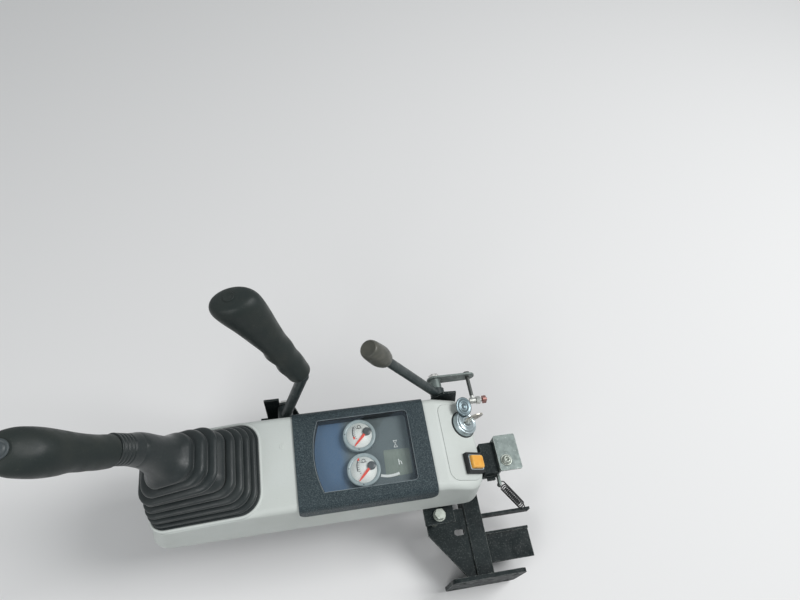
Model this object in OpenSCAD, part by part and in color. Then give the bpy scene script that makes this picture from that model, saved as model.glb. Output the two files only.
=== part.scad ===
// Right-hand control console of a wheeled excavator.
// +X points to the rear of the machine, +Y outboard, away from the seat, and +Z up.
// The origin is the centre of the four bolt holes, on the mounting face of the arm.
// The console has a zero of its own: on its centre line, level with the deck,
// at the break where the deck turns down into the nose.

/* [Cover] */
// Length of the level deck, from the nose break to the tail break
deck_l = 244; // [230:1:270]
// Length of the nose in front of the break, along the lower edge
nose_l = 158; // [154:1:175]
// Length of the tail behind the deck, seen from above
tail_l = 58; // [52:1:70]
// Slope of the nose
nose_angle = 8; // [4:1:10]
// How far the nose's front leans forward from its top to its lower edge
nose_lean = 17; // [8:1:20]
// Slope of the tail
tail_angle = 26; // [15:1:30]
// Width of the cover at the deck
deck_w = 132; // [128:1:150]
// Width of the cover at its lower edge
skirt_w = 144; // [138:1:165]
// Depth of the cover from the deck to its lower edge
cover_h = 76; // [70:1:95]
// Thickness of the moulded wall
wall = 3; // [2:0.5:4]
// Radius of the long top edges
shoulder_r = 9; // [6:1:14]
// Radius of the upright corners
corner_r = 24; // [16:1:30]

/* [Instrument panel] */
// Length of the dark bezel
bezel_l = 187; // [175:1:195]
// Distance from the nose break to the bezel
bezel_gap = 42; // [38:1:48]
// How far the bezel stands proud of the cover
bezel_proud = 2.5; // [1.5:0.5:4]
// How far the bezel wraps down the sides
bezel_drop = 24; // [16:1:32]
// Radius of the bezel's lower corners
bezel_r = 11; // [6:1:14]
// Length of the smoked window
window_l = 137; // [120:1:142]
// Width of the smoked window
window_w = 101; // [99:1:106]
// Distance from the bezel's front end to the window
window_gap = 25; // [22:1:32]
// Outer diameter of a gauge ring
gauge_d = 46; // [40:1:48]
// Distance between the two gauges
gauge_pitch = 49; // [48:1:54]

/* [Switches] */
// Diameter of the ignition switch's head
ignition_d = 38; // [34:1:40]
// Width and length of the push switch's cap
switch_cap_w = 22; // [18:1:24]

/* [Joystick] */
// Length of the gaiter's base, along the nose
boot_l = 143; // [125:1:146]
// Width of the gaiter's base
boot_w = 124; // [105:1:125]
// Distance along the stick from the deck's level to the top of the folds
boot_h = 79; // [70:1:95]
// Number of folds
boot_folds = 8; // [6:1:9]
// Length of the plain cone above the folds
cone_l = 53; // [45:1:65]
// Diameter of the cone where it meets the folds
cone_d = 63; // [50:1:70]
// Diameter of the collar under the grip
collar_d = 36; // [32:1:38]
// Length of the grip
grip_l = 130; // [120:1:145]
// Sideways lean of the grip, towards the seat
grip_lean = 12; // [0:1:14]
// Lean of the grip forwards, beyond the stick's own
grip_pitch = 5; // [0:1:8]
// Lean of the joystick towards the front
stick_angle = 26; // [20:1:28]

/* [Levers] */
// Diameter of the lever rods
rod_d = 15; // [12:0.5:16]
// Distance from the console's centre line to the blade lever
lever_y = 90; // [88:1:98]
// Distance from the console's centre line to the throttle lever
throttle_y = 84; // [84:1:94]
// Length of the blade lever's rod below its bend
blade_rod_l = 134; // [120:1:145]
// Lean of that rod towards the rear
blade_rod_lean = 14; // [8:1:18]
// Lean of the blade lever's grip towards the front
blade_grip_lean = 23; // [15:1:26]
// Length of the blade lever's grip
blade_grip_l = 169; // [150:1:180]
// Length of the throttle lever's rod
throttle_l = 164; // [150:1:190]
// Lean of the throttle lever
throttle_lean = 33; // [20:1:40]
// Diameter of the throttle lever's knob
knob_d = 29; // [24:1:34]
// Length of that knob
knob_l = 46; // [38:1:52]
// Length of the throttle lever's crank
crank_l = 52; // [46:1:60]

/* [Arm] */
// Distance from the mounting face to the console's centre line
arm_reach = 172; // [150:1:200]
// Height of the deck above the centre of the mounting holes
deck_rise = 154; // [150:1:175]
// Width of the arm's top
arm_w = 25; // [22:1:34]
// Depth of the folded arm
arm_h = 40; // [34:1:50]
// Thickness of the arm's sheet
arm_t = 4; // [3:0.5:5]
// Length of the mounting plate
plate_l = 110; // [104:1:130]
// Height of the mounting plate
plate_h = 90; // [86:1:110]
// Thickness of the mounting plate
plate_t = 6; // [5:0.5:10]
// Distance between the mounting holes along the machine
hole_pitch_x = 80; // [76:1:90]
// Distance between the mounting holes up and down
hole_pitch_z = 60; // [56:1:66]
// Diameter of the mounting holes
hole_d = 11; // [9:0.5:13]
// Diameter of the tilt pin
tilt_pin_d = 10; // [8:0.5:12]

/* [Hidden] */
$fn = 48;

// Running clearance round a pin, and the gap between parts that only lie side by side
run = 0.1;
gap = 0.3;
// Radius of the cover's top edge at its front and rear ends
end_r = 5;
// Clearance between pieces that move past each other
clear = 6;

// Steel tray under the cover
tray_t = 3;
tray_w = skirt_w - 2 * wall - 6;
tray_lip = 14;
tray_drop = 26;
tray_z = -cover_h - tray_drop;
tray_front = -nose_l + 12;
tray_rear = deck_l + tail_l - 8;
tray_r = corner_r - 4;

// The tilt axis crosses the machine under the tail
tilt_x = deck_l + tail_l - 2;
lug_t = 5;
barrel_d = tilt_pin_d + 14;
barrel_w = 50;
tilt_z = tray_z - barrel_d / 2 - clear;
pin_l = barrel_w + 2 * lug_t + 6;
// The arm's top lies below the barrel by the height of the welded saddle
saddle_h = 4;
// Height by which the web beside the arm lies below its top
web_drop = 3;
arm_top = tilt_z - barrel_d / 2 - saddle_h;

// Stop bolt on the arm's finger, inboard of the cover
finger_x = deck_l - 6;
stop_y = skirt_w / 2 + 10;
stop_d = 10;
ear_t = 4;
ear_z = -cover_h - 12;

// Flat bar that holds the counterbalance spring, and the shelf beside it
bar_t = 4;
hook_d = 7;
bar_h = 18;
bar_l = 80;
bar_y = -80;
bar_z = arm_top - 4;
shelf_l = 72;
shelf_w = 44;
shelf_z = arm_top - 18;

// Instrument panel: tub under the bezel, panel on its floor, gauges
bezel_x = bezel_gap + bezel_l / 2;
tub_l = bezel_l - 22;
tub_w = deck_w - 2 * shoulder_r - 5;
panel_z = -14;
panel_t = 2;
window_bow = 136;
window_y = 1.5;
tub_rim = 1.5;
gauge_x = bezel_gap + window_gap + 66;
gauge_y = 1;
gauge_h = 8;
gauge_rim = 3.5;
needle_x = 11;
needle_y = 4;
needle_l = 28;

// Plate let into the tail; s and y are places along the tail and across it
tail_slope_l = tail_l / cos(tail_angle);
plate_s = tail_slope_l / 2 + 1;
switch_l = tail_slope_l - 10;
switch_w = deck_w - 20;
plate_r = 14;
ignition_s = tail_l - 11;
ignition_y = 26;
ignition_h = 9;
key_turn = 12;
button_s = tail_l - 10;
button_y = -33;

// The gaiter's base lies on the nose; distances t run along the stick from the deck's level
boot_back = 5;
boot_mid = boot_back + boot_l / 2;
boot_front_r = 18;
boot_rear_r = 28;
boot_t = 2.4;
fold_depth = 5;
// Folds lie closer together near the foot, and the lower ones draw in
fold_grade = 1.3;
fold_waist = 0.7;
waist_top = 5 / 8;
stick_x = -74;
stick_d = 12;
gimbal_t = -52;
gimbal_d = 6;
cam_d = 46;
valve_t = gimbal_t - 20;
valve_w = 62;
valve_h = 40;
cone_top = boot_h + cone_l;

// The neck and the collar lie under the grip, all three in line
neck_l = 12;
collar_l = 21;
grip_z = neck_l + collar_l + gap;
grip_bore = 24;
horn_d = 20;

// Levers
blade_x = 31;
blade_z = -60;
blade_grip_side = 11;
blade_grip_foot = 8;
blade_grip_bore = 60;
throttle_x = deck_l + 18;
throttle_z = -34;
hub_d = 22;
cheek_t = 3;
cheek_d = 26;
pivot_d = 8;
crank_t = 3;
crank_w = 24;
crank_y = 24;
clamp_y = -17.5;
clamp_d = 6;
web_y = skirt_w / 2 + 1;
bracket_lap = 30;
bracket_x = blade_x - 40;
bracket_l = throttle_x - blade_x + 62;

// Latch behind the console, and the counterbalance spring
latch_x = deck_l + tail_l + 35;
latch_y = -39;
latch_z = -60;
latch_l = 34;
latch_w = 54;
latch_t = 3;
latch_h = 30;
latch_bolt_x = 12;
latch_bolt_y = 15;
spring_d = 13;
wire_d = 1.8;
spring_turns = 12;
coil_r = (spring_d - wire_d) / 2;
spring_low = [tilt_x + arm_w / 2 + bar_l - 6, bar_y, bar_z - 5];
spring_top = [latch_x + latch_t / 2, latch_y - 9, latch_z - 25];

function lerp(a, b, k) = a + (b - a) * k;

// Top of the cover at a distance x from the nose break; the nose's sections lean as they near its front
function top_z(x) =
    let (m = nose_lean / nose_l, drop = x * tan(nose_angle))
    x < 0 ? drop * (1 - m) / (1 + drop * m / cover_h)
    : x > deck_l ? (deck_l - x) * tan(tail_angle) : 0;

// A point of a section, moved back by the lean of the nose
function leaned(p) =
    [p[0] - nose_lean * min(p[0], 0) / nose_l * (p[2] + cover_h) / cover_h, p[1], p[2]];

// Radius of the long top edges, smaller beside the gaiter
function edge_r(x) = x < 0 ? max(shoulder_r + x / 8, shoulder_r - 6) : shoulder_r;

// Half the width lost to an upright corner of radius r at a distance d from the end
function corner_loss(d, r) = d >= r ? 0 : r - sqrt(r * r - (r - d) * (r - d));

// One cross-section of the cover, as points from the lower inboard edge round the top
// x: place along the console, grow: offset outwards
function cover_section(x, grow) =
    let (
        r = max(edge_r(x) + grow, 1),
        d = max(min(x + nose_l, deck_l + tail_l - x), 0.01),
        loss = corner_loss(d, corner_r),
        z = top_z(x) + grow - corner_loss(d, end_r),
        low = -cover_h,
        top = deck_w / 2 - loss + grow,
        skirt = skirt_w / 2 - loss + grow,
        side = lerp(top, skirt, (r - z) / (cover_h)),
        arc = [for (a = [0:15:90]) [top - r + r * cos(a), z - r + r * sin(a)]],
        half = [for (p = arc) [p[0] + (side - top) * (z - p[1]) / r * 0.5, p[1]]]
    )
    [for (p = concat(
        [[x, skirt, low]],
        [for (p = half) [x, p[0], p[1]]],
        [for (i = [len(half) - 1:-1:0]) [x, -half[i][0], half[i][1]]],
        [[x, -skirt, low]]
    )) leaned(p)];

// Closed skin over a list of rings that all have the same number of points
// loop: the last ring joins the first, as in a tube; otherwise both ends get a face
module skin(rings, loop = false) {
    n = len(rings[0]);
    m = len(rings);
    ends = [[for (j = [0:n - 1]) j], [for (j = [n - 1:-1:0]) (m - 1) * n + j]];
    sides = [for (i = [0:m - (loop ? 1 : 2)]) for (j = [0:n - 1])
        let (a = i * n, b = (i + 1) % m * n, k = (j + 1) % n)
        [a + j, b + j, b + k, a + k]];
    polyhedron(
        points = [for (ring = rings) for (p = ring) p],
        faces = loop ? sides : concat(ends, sides),
        convexity = 8
    );
}

// Places along the console where the cover's cross-section is drawn
function cover_stations(shrink) =
    let (front = -nose_l + shrink, rear = deck_l + tail_l - shrink, r = corner_r - shrink)
    concat(
        [for (a = [0:15:90]) front + r * (1 - cos(a))],
        [-48, -24, 0, deck_l],
        [for (a = [90:-15:0]) rear - r * (1 - cos(a))]
    );

// Moves its children to the console's own zero
module console() {
    translate([-tilt_x, arm_reach, deck_rise]) children();
}

// Moves its children to a place on the nose, with Z square to the slope
module on_nose(s = 0) {
    console() rotate([0, -nose_angle, 0]) translate([-s, 0, 0]) children();
}

// Moves its children to the stick's axis at the deck's level, with Z along the stick
module on_stick() {
    console() translate([stick_x, 0, 0]) rotate([0, -stick_angle, 0]) children();
}

// Moves its children to the top of the gaiter, with Z along the grip
module on_grip() {
    on_stick() translate([0, 0, cone_top]) rotate([grip_lean, -grip_pitch, 0]) children();
}

// Moves its children to a place on the tail, with Z square to the slope
module on_tail(s = 0) {
    console() translate([deck_l, 0, 0]) rotate([0, tail_angle, 0]) translate([s, 0, 0]) children();
}

// A cylinder along Y, centred on its length
module rod_y(d, l) {
    rotate([90, 0, 0]) cylinder(d = d, h = l, center = true);
}

// A rectangle with round corners, made of its strips and discs
module round_rect(l, w, r) {
    square([l - 2 * r, w], center = true);
    square([l, w - 2 * r], center = true);
    for (i = [-1, 1], j = [-1, 1]) translate([i * (l / 2 - r), j * (w / 2 - r)]) circle(r);
}

module arm() color("#3a3f45") {
    difference() {
        union() {
            // Barrel across the top of the arm, on its welded saddle
            console() translate([tilt_x, 0, tilt_z]) rod_y(barrel_d, barrel_w);
            console() translate([tilt_x - arm_w / 2, -barrel_w / 2, arm_top - 1])
                cube([arm_w, barrel_w, saddle_h + 4]);
            // Folded channel from the mounting plate to under the barrel
            console() translate([tilt_x, -arm_reach, arm_top - arm_h]) difference() {
                translate([-arm_w / 2, 0, 0]) cube([arm_w, arm_reach + barrel_w / 2, arm_h]);
                translate([-arm_w / 2 + arm_t, -1, -1])
                    cube([arm_w - 2 * arm_t, arm_reach + barrel_w / 2 + 2, arm_h + 1 - arm_t]);
            }
            // Finger that the stop bolt stands on, and the web from it to the plate
            console() translate([0, 0, arm_top - web_drop - arm_t]) linear_extrude(arm_t) polygon([
                [tilt_x - arm_w / 2 + 1, -arm_reach + plate_t],
                [tilt_x - arm_w / 2 + 1, -skirt_w / 2 + 6],
                [finger_x - 12, -skirt_w / 2 + 6],
                [finger_x - 12, -stop_y - 16],
                [tilt_x - arm_w / 2 - 12, -arm_reach + plate_t]
            ]);
            // Shelf behind the arm, beside the spring's bar
            console() translate([tilt_x + arm_w / 2 - 1, bar_y - 24 - shelf_w, shelf_z]) {
                cube([shelf_l, shelf_w, arm_t]);
                translate([0, shelf_w - arm_t, 0]) cube([shelf_l, arm_t, arm_t + 4]);
            }
            // Mounting plate
            rotate([-90, 0, 0]) linear_extrude(plate_t) round_rect(plate_l, plate_h, 10);
        }
        console() translate([tilt_x, 0, tilt_z]) rod_y(tilt_pin_d + 2 * run, barrel_w + 1);
        // Slot in the web
        console() translate([tilt_x - arm_w / 2 - 17, -stop_y - 18, arm_top - web_drop - arm_t - 1]) {
            cylinder(d = 9, h = arm_t + 2);
            translate([7, 0, 0]) cylinder(d = 9, h = arm_t + 2);
            translate([0, -4.5, 0]) cube([7, 9, arm_t + 2]);
        }
        for (i = [-1, 1], k = [-1, 1])
            translate([i * hole_pitch_x / 2, plate_t / 2, k * hole_pitch_z / 2])
                rod_y(hole_d, plate_t + 1);
    }
}

module tilt_pin() color("silver") console() translate([tilt_x, 0, tilt_z]) {
    rod_y(tilt_pin_d, pin_l);
    translate([0, -pin_l / 2 - 2, 0]) rod_y(tilt_pin_d + 6, 4);
}

module spring_bar() color("#55595e") console() difference() {
    translate([tilt_x + arm_w / 2, bar_y - bar_t / 2, bar_z - bar_h]) cube([bar_l, bar_t, bar_h]);
    translate(spring_low) rod_y(hook_d, bar_t + 2);
}

// The tray's outline, shrunk by a wall, from a height above its floor upwards
module tray_block(shrink, rise) {
    translate([(tray_front + tray_rear) / 2, 0, tray_z + rise])
        linear_extrude(tray_drop + tray_lip)
            round_rect(tray_rear - tray_front - 2 * shrink, tray_w - 2 * shrink, tray_r - shrink);
}

module tray() color("#2c2f33") console() difference() {
    union() {
        difference() {
            tray_block(0, 0);
            tray_block(tray_t, tray_t);
        }
        // Lugs for the tilt pin
        for (k = [-1, 1])
            translate([0, k * (barrel_w / 2 + 1 + lug_t / 2), 0]) rotate([90, 0, 0])
                linear_extrude(lug_t, center = true) {
                    translate([tilt_x, tilt_z]) circle(d = barrel_d - 2);
                    polygon([
                        [tilt_x - 26, tray_z],
                        [tilt_x - barrel_d / 2 + 1, tilt_z],
                        [tilt_x + barrel_d / 2 - 1, tilt_z],
                        [tray_rear, tray_z]
                    ]);
                }
        // Ear for the stop bolt
        translate([finger_x - 22, -stop_y - 12, ear_z]) cube([44, stop_y + 13 - tray_w / 2, ear_t]);
    }
    translate([tilt_x, 0, tilt_z]) rod_y(tilt_pin_d + 2 * run, skirt_w);
    translate([finger_x, -stop_y, ear_z - 1]) cylinder(d = stop_d + 2 * run, h = ear_t + 2);
    // Opening under the pilot valve
    translate([stick_x - 25, -38, tray_z - 1]) cube([90, 76, tray_t + 2]);
}

module stop_bolt() color("silver") console() translate([finger_x, -stop_y, 0]) {
    foot = arm_top - web_drop + gap;
    translate([0, 0, foot]) cylinder(d = stop_d, h = ear_z + ear_t - foot);
    translate([0, 0, ear_z + ear_t]) cylinder(d = stop_d + 8, h = 2);
    translate([0, 0, ear_z + ear_t + 2]) cylinder(d = stop_d + 6, h = 8, $fn = 6);
}

// The gaiter's opening in the nose
module boot_hole(l, w, r) {
    translate([0, 0, -30]) linear_extrude(60) round_rect(l, w, r);
}

module cover() color("#cfd2cf") difference() {
    console() skin([for (x = cover_stations(0)) cover_section(x, 0)]);
    console() translate([0, 0, -0.01])
        skin([for (x = cover_stations(wall)) cover_section_in(x)]);
    on_nose(boot_mid) boot_hole(boot_l - 8, boot_w - 8, boot_rear_r - 6);
    // Opening under the instrument panel
    console() translate([bezel_x, 0, 0]) cube([tub_l + 2 * gap, tub_w + 2 * gap, 40], center = true);
    // Seat of the switch plate
    on_tail(plate_s) translate([0, 0, -12]) linear_extrude(40)
        round_rect(switch_l, switch_w, plate_r);
}

// Cross-section of the hollow inside the cover
function cover_section_in(x) =
    [for (p = cover_section(x, -wall)) [p[0], p[1], p[2] == -cover_h ? p[2] - 1 : p[2]]];

// The cover's outline across the deck, grown, as a bar under the bezel
module deck_bar(grow, l) {
    translate([bezel_x, 0, 0]) rotate([90, 0, 90]) linear_extrude(l, center = true)
        polygon([for (p = cover_section(bezel_gap, grow)) [p[1], p[2]]]);
}

module bezel() color("#3c444c") console() difference() {
    intersection() {
        deck_bar(bezel_proud, bezel_l);
        // Round lower corners, seen from the side
        translate([bezel_x, 0, 0]) rotate([90, 0, 0])
            linear_extrude(skirt_w + 20, center = true) round_rect(bezel_l, 2 * bezel_drop, bezel_r);
    }
    deck_bar(gap, bezel_l + 2);
    window_cut(gap);
}

// Tub that hangs in the deck's opening under the bezel; the window rests on its rim
module tub() color("#20262b") console() difference() {
    translate([bezel_x, 0, panel_z])
        linear_extrude(-panel_z - 1) square([tub_l, tub_w], center = true);
    translate([0, 0, panel_z - 1]) linear_extrude(30) window_outline(-tub_rim);
}

// Outline of the window, bowed forwards at its front end
module window_outline(grow) {
    x0 = bezel_gap + window_gap;
    intersection() {
        translate([x0 + window_l / 2, window_y])
            round_rect(window_l + 2 * grow, window_w + 2 * grow, 5);
        translate([x0 + window_bow - grow, window_y]) circle(r = window_bow, $fn = 96);
    }
}

module window_cut(grow) {
    translate([0, 0, -20]) linear_extrude(40) window_outline(grow);
}

module window() color("#1a2a36") console() translate([0, 0, -1]) linear_extrude(3) window_outline(0);

// Panel that carries the gauges, under the window
module gauge_panel() color("#20262b") console() translate([bezel_x, 0, panel_z - panel_t])
    linear_extrude(panel_t) square([tub_l, tub_w], center = true);

module gauge(y) {
    console() translate([gauge_x, gauge_y + y, panel_z]) {
        cylinder(d = gauge_d, h = gauge_h);
        translate([0, 0, gauge_h]) difference() {
            cylinder(d = gauge_d, h = 2);
            translate([0, 0, -1]) cylinder(d = gauge_d - 2 * gauge_rim, h = 4);
        }
    }
}
module gauge_front() color("white") gauge(gauge_pitch / 2);
module gauge_rear() color("white") gauge(-gauge_pitch / 2);

// Needles and their hubs, set towards the rear outboard corner of each dial
module needles() color("crimson") console()
    for (y = [-gauge_pitch / 2, gauge_pitch / 2])
        translate([gauge_x + needle_x, gauge_y + y + needle_y, panel_z + gauge_h]) {
            cylinder(d = 11, h = 1.2);
            rotate([0, 0, 225]) translate([-2, -0.9, 1]) cube([needle_l + 2, 1.8, 0.8]);
        }

module switch_plate() color("#cfd2cf") difference() {
    on_tail(plate_s) translate([0, 0, -wall]) linear_extrude(wall + 1)
        round_rect(switch_l - 2 * gap, switch_w - 2 * gap, plate_r - gap);
    on_tail(ignition_s) translate([0, ignition_y, -10]) cylinder(d = ignition_d - 14 + 2 * gap, h = 20);
    on_tail(button_s) translate([0, button_y, -5])
        cube([switch_cap_w + 1, switch_cap_w - 1, 20], center = true);
}

module ignition_switch() color("silver") on_tail(ignition_s) translate([0, ignition_y, 1]) {
    difference() {
        union() {
            cylinder(d1 = ignition_d, d2 = ignition_d - 4, h = ignition_h);
            cylinder(d = 16, h = ignition_h + 1.5);
        }
        rotate([0, 0, key_turn]) translate([-5, -1.5, 2]) cube([10, 3, ignition_h]);
    }
    translate([0, 0, -32]) cylinder(d = ignition_d - 14, h = 32);
}

module ignition_key() color("silver") on_tail(ignition_s)
    translate([0, ignition_y, 0]) rotate([0, 0, key_turn]) {
        translate([-4, -1, 3 + gap]) cube([8, 2, 14]);
        translate([0, 0, 27]) rotate([90, 0, 0]) difference() {
            cylinder(d = 24, h = 2.4, center = true);
            translate([0, 6, 0]) cylinder(d = 5, h = 4, center = true);
        }
    }

module dust_cap() color("silver") on_tail(ignition_s)
    translate([-2, ignition_y + 10, 1 + ignition_h + gap]) rotate([12, 0, 0])
        translate([0, 13, 0]) cylinder(d = 28, h = 2.5);

module switch_base() color("#222222") on_tail(button_s) translate([0, button_y, 1]) difference() {
    union() {
        translate([-1, 0, 4]) cube([switch_cap_w + 5, switch_cap_w + 7, 8], center = true);
        translate([0, 0, -12]) cube([switch_cap_w, switch_cap_w - 2, 24], center = true);
    }
    translate([0, 0, 8]) cube([switch_cap_w - 1, switch_cap_w - 3, 16], center = true);
}

module switch_cap() color("orange") on_tail(button_s) translate([0, button_y, 7.5])
    cube([switch_cap_w - 2, switch_cap_w - 4, 13], center = true);

// Pilot valve hung under the gaiter
module pilot_valve() color("#7a7f84") on_stick() {
    translate([0, 0, valve_t - valve_h / 2]) cube([valve_w, valve_w, valve_h], center = true);
    // Fork that carries the gimbal
    for (k = [-1, 1]) difference() {
        translate([0, k * 17, valve_t + 10]) cube([12, 5, 32], center = true);
        translate([0, k * 17, gimbal_t]) rod_y(gimbal_d + 2 * run, 8);
    }
}

module valve_plungers() color("silver") on_stick()
    for (a = [45:90:315]) rotate([0, 0, a]) translate([25, 0, valve_t]) {
        cylinder(d = 10, h = 12);
        cylinder(d = 6, h = 18);
        translate([0, 0, 18]) sphere(d = 6);
    }

module gimbal() color("silver") on_stick() translate([0, 0, gimbal_t]) {
    rod_y(gimbal_d, 40);
    rotate([90, 0, 90]) cylinder(d = gimbal_d, h = 24, center = true);
    cube([9, 9, 9], center = true);
}

module stick() color("silver") {
    on_stick() translate([0, 0, gimbal_t]) {
        // Fork over the gimbal
        for (k = [-1, 1]) difference() {
            translate([k * 8.2, 0, 4]) cube([4, 10, 18], center = true);
            rotate([0, 90, 0]) cylinder(d = gimbal_d + 2 * run, h = 30, center = true);
        }
        translate([0, 0, 15]) cube([20.4, 10, 6], center = true);
        translate([0, 0, 18]) cylinder(d = stick_d, h = cone_top - gimbal_t - 18);
    }
    // The rod bends under the grip
    on_grip() {
        sphere(d = stick_d + 1);
        cylinder(d = stick_d, h = grip_z + grip_bore);
    }
}

module cam_plate() color("#8c9095") on_stick() translate([0, 0, gimbal_t + 20]) difference() {
    cylinder(d = cam_d, h = 5);
    translate([0, 0, -1]) cylinder(d = stick_d + 2 * gap, h = 7);
}

// Ring of the gaiter: a rectangle with round corners, drawn as points
// c: centre, tilt and side: its leans forwards and towards the seat
// a: half length, b: half width, front and rear: radii of its corners
function boot_ring(c, tilt, side, a, b, front, rear) =
    [for (q = [0:3]) for (i = [0:5])
        let (
            r = (q == 0 || q == 3) ? rear : front,
            ang = q * 90 + i * 18,
            x = ((q == 0 || q == 3) ? 1 : -1) * (a - r) + r * cos(ang),
            y = (q < 2 ? 1 : -1) * (b - r) + r * sin(ang)
        )
        c + x * [cos(tilt), 0, sin(tilt)]
            + y * [-sin(side) * sin(tilt), cos(side), sin(side) * cos(tilt)]];

// Point on the stick's axis
function stick_point(t) = [stick_x - t * sin(stick_angle), 0, t * cos(stick_angle)];

boot_foot = [-boot_mid * cos(nose_angle), 0, -boot_mid * sin(nose_angle) + gap];

// The plain cone above the folds, as shares: height in it, radius, turn towards the grip
CONE = [[0.1, 0.6, 0], [0.25, 0.32, 0], [0.45, 0.14, 0.1], [0.7, 0.04, 0.5], [1, 0, 1]];

// Rings from the base up, moved inwards by grow; k runs from 0 at the base to 1 at the top of the folds
function boot_rings(grow) = concat(
    [for (i = [0:2 * boot_folds])
        let (
            share = i / (2 * boot_folds),
            k = pow(share, fold_grade),
            waist = share <= waist_top ? fold_waist * i : share < waist_top + 0.1 ? 4 : 0,
            dip = (i % 2 == 1 ? fold_depth : 0) + waist + grow
        )
        boot_ring(
            lerp(boot_foot, stick_point(boot_h), k) - [12 * k * (1 - k), 0, 0],
            lerp(nose_angle, stick_angle, k),
            0,
            lerp(boot_l, cone_d, pow(k, 2.2)) / 2 - dip,
            lerp(boot_w, cone_d, pow(k, 1.1)) / 2 - dip,
            lerp(boot_front_r, cone_d * 0.38, k) - dip,
            lerp(boot_rear_r, cone_d * 0.38, k) - dip
        )],
    [for (row = CONE)
        let (
            r = lerp(collar_d / 2 + 2, cone_d / 2, row[1]) - grow,
            corner = r * (1 - 0.24 * row[1])
        )
        boot_ring(
            stick_point(boot_h + row[0] * cone_l),
            stick_angle + grip_pitch * row[2],
            grip_lean * row[2],
            r, r, corner, corner
        )]
);

module boot() color("#2b2e31") console() {
    inner = boot_rings(boot_t);
    skin(concat(boot_rings(0), [for (i = [len(inner) - 1:-1:0]) inner[i]]), loop = true);
}

// Plain neck over the rod, then the collar with its grooves: distance from the cone, radius less
COLLAR = [
    [0.3, -2], [4, -1], [8, -0.3], [neck_l, 0],
    [13, 0], [13.4, 1.2], [14.8, 1.2], [15.2, 0], [18, 0], [18.4, 1.2], [19.8, 1.2], [20.2, 0],
    [23, 0], [23.4, 1.2], [24.8, 1.2], [25.2, 0], [28, 0], [28.4, 1.2], [29.8, 1.2], [30.2, 0],
    [neck_l + collar_l, 0]
];
module collar() color("#1f2123") on_grip() rotate_extrude() polygon(concat(
    [[stick_d / 2 + 1, COLLAR[0][0]]],
    [for (row = COLLAR) [collar_d / 2 - row[1], row[0]]],
    [[stick_d / 2 + 1, neck_l + collar_l]]
));

// Sections of the grip: distance along it, half width, half depth, shift forwards, slope to the rear,
// shift towards the seat
GRIP = [
    [0, 18.2, 18, 0, 0, 1.6], [20, 18.8, 18.5, 0, 0, 3.4], [33, 19.4, 19, 0, 0, 3.6],
    [47, 20.4, 19.5, 0, 0, 3.5], [69, 23.2, 21.5, 1, 4, 3.2], [84, 24.5, 23.5, 2, 9, 2.8],
    [97, 24.4, 24, 3, 17, 2.2], [108, 23.3, 23.5, 4, 25, 1.5], [117, 20, 20.5, 4, 32, 1],
    [121.8, 15.5, 16, 3, 35, 0.5], [123.5, 11.5, 11.5, 2, 35, 0]
];
grip_scale = grip_l / 130;

module grip() color("#26292c") on_grip() translate([0, 0, grip_z]) difference() {
    skin([for (row = GRIP)
        [for (a = [0:15:345])
            [row[2] * cos(a) * cos(row[4]) - row[3],
             row[1] * sin(a) - row[5],
             row[0] * grip_scale - row[2] * cos(a) * sin(row[4])]]]);
    translate([0, 0, -1]) cylinder(d = stick_d + 2 * gap, h = grip_bore + gap + 1);
}

module horn_button() color("#33373b") on_grip()
    translate([-2, 0, grip_z + 123.5 * grip_scale]) rotate([0, 35, 0]) translate([0, 0, gap]) {
        cylinder(d1 = horn_d, d2 = horn_d - 2, h = 2.5);
        cylinder(d = horn_d - 8, h = 3.5);
    }

// Width of a lever's hub, which fills the room beside the bracket's web
function hub_w(y) = 2 * (y - web_y - cheek_t - 1);

// Bracket on the outboard side of the tray that carries both levers
module lever_bracket() color("#2c2f33") console() {
    far_y = lever_y + hub_w(lever_y) / 2 + 1;
    difference() {
        union() {
            translate([bracket_x, tray_w / 2 - bracket_lap, tray_z - cheek_t])
                cube([bracket_l, web_y - tray_w / 2 + bracket_lap + cheek_t, cheek_t]);
            translate([bracket_x, web_y, tray_z - cheek_t]) cube([bracket_l, cheek_t, 24]);
            translate([0, web_y + cheek_t / 2, 0]) rotate([90, 0, 0])
                linear_extrude(cheek_t, center = true) {
                    // Cheek of the blade lever
                    translate([blade_x, blade_z]) circle(d = cheek_d);
                    translate([blade_x, 0])
                        polygon([[-20, tray_z], [20, tray_z], [13, blade_z], [-13, blade_z]]);
                    // Cheek of the throttle lever, which stands up behind its rod
                    translate([throttle_x, 0]) polygon([
                        [-20, tray_z], [22, tray_z], [28, throttle_z - 15], [23, throttle_z + 24],
                        [3, throttle_z + 27], [-13, throttle_z + 8], [-13, throttle_z - 8]
                    ]);
                }
            // Outboard cheek of the blade lever, with the tab in front of its rod
            translate([bracket_x, web_y, tray_z - cheek_t])
                cube([60, far_y - web_y + cheek_t, cheek_t]);
            translate([blade_x, far_y + cheek_t / 2, 0]) rotate([90, 0, 0])
                linear_extrude(cheek_t, center = true) {
                    translate([0, blade_z]) circle(d = cheek_d);
                    polygon([[-29, tray_z - 1], [20, tray_z - 1], [13, blade_z], [-7, blade_z],
                        [-7, -31], [-29, -31]]);
                }
        }
        translate([blade_x, web_y, blade_z]) rod_y(pivot_d + 2 * run, 90);
        translate([throttle_x, web_y, throttle_z]) rod_y(pivot_d + 2 * run, 20);
    }
}

// Pivot bolt, fixed in the web, with its hexagon head at a distance end from the console's centre line
module lever_pivot(x, z, end) {
    console() translate([x, 0, z]) {
        translate([0, (web_y + end) / 2, 0]) rod_y(pivot_d, end - web_y);
        translate([0, end, 0]) rotate([-90, 0, 0]) cylinder(d = pivot_d + 9, h = 5, $fn = 6);
    }
}

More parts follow.
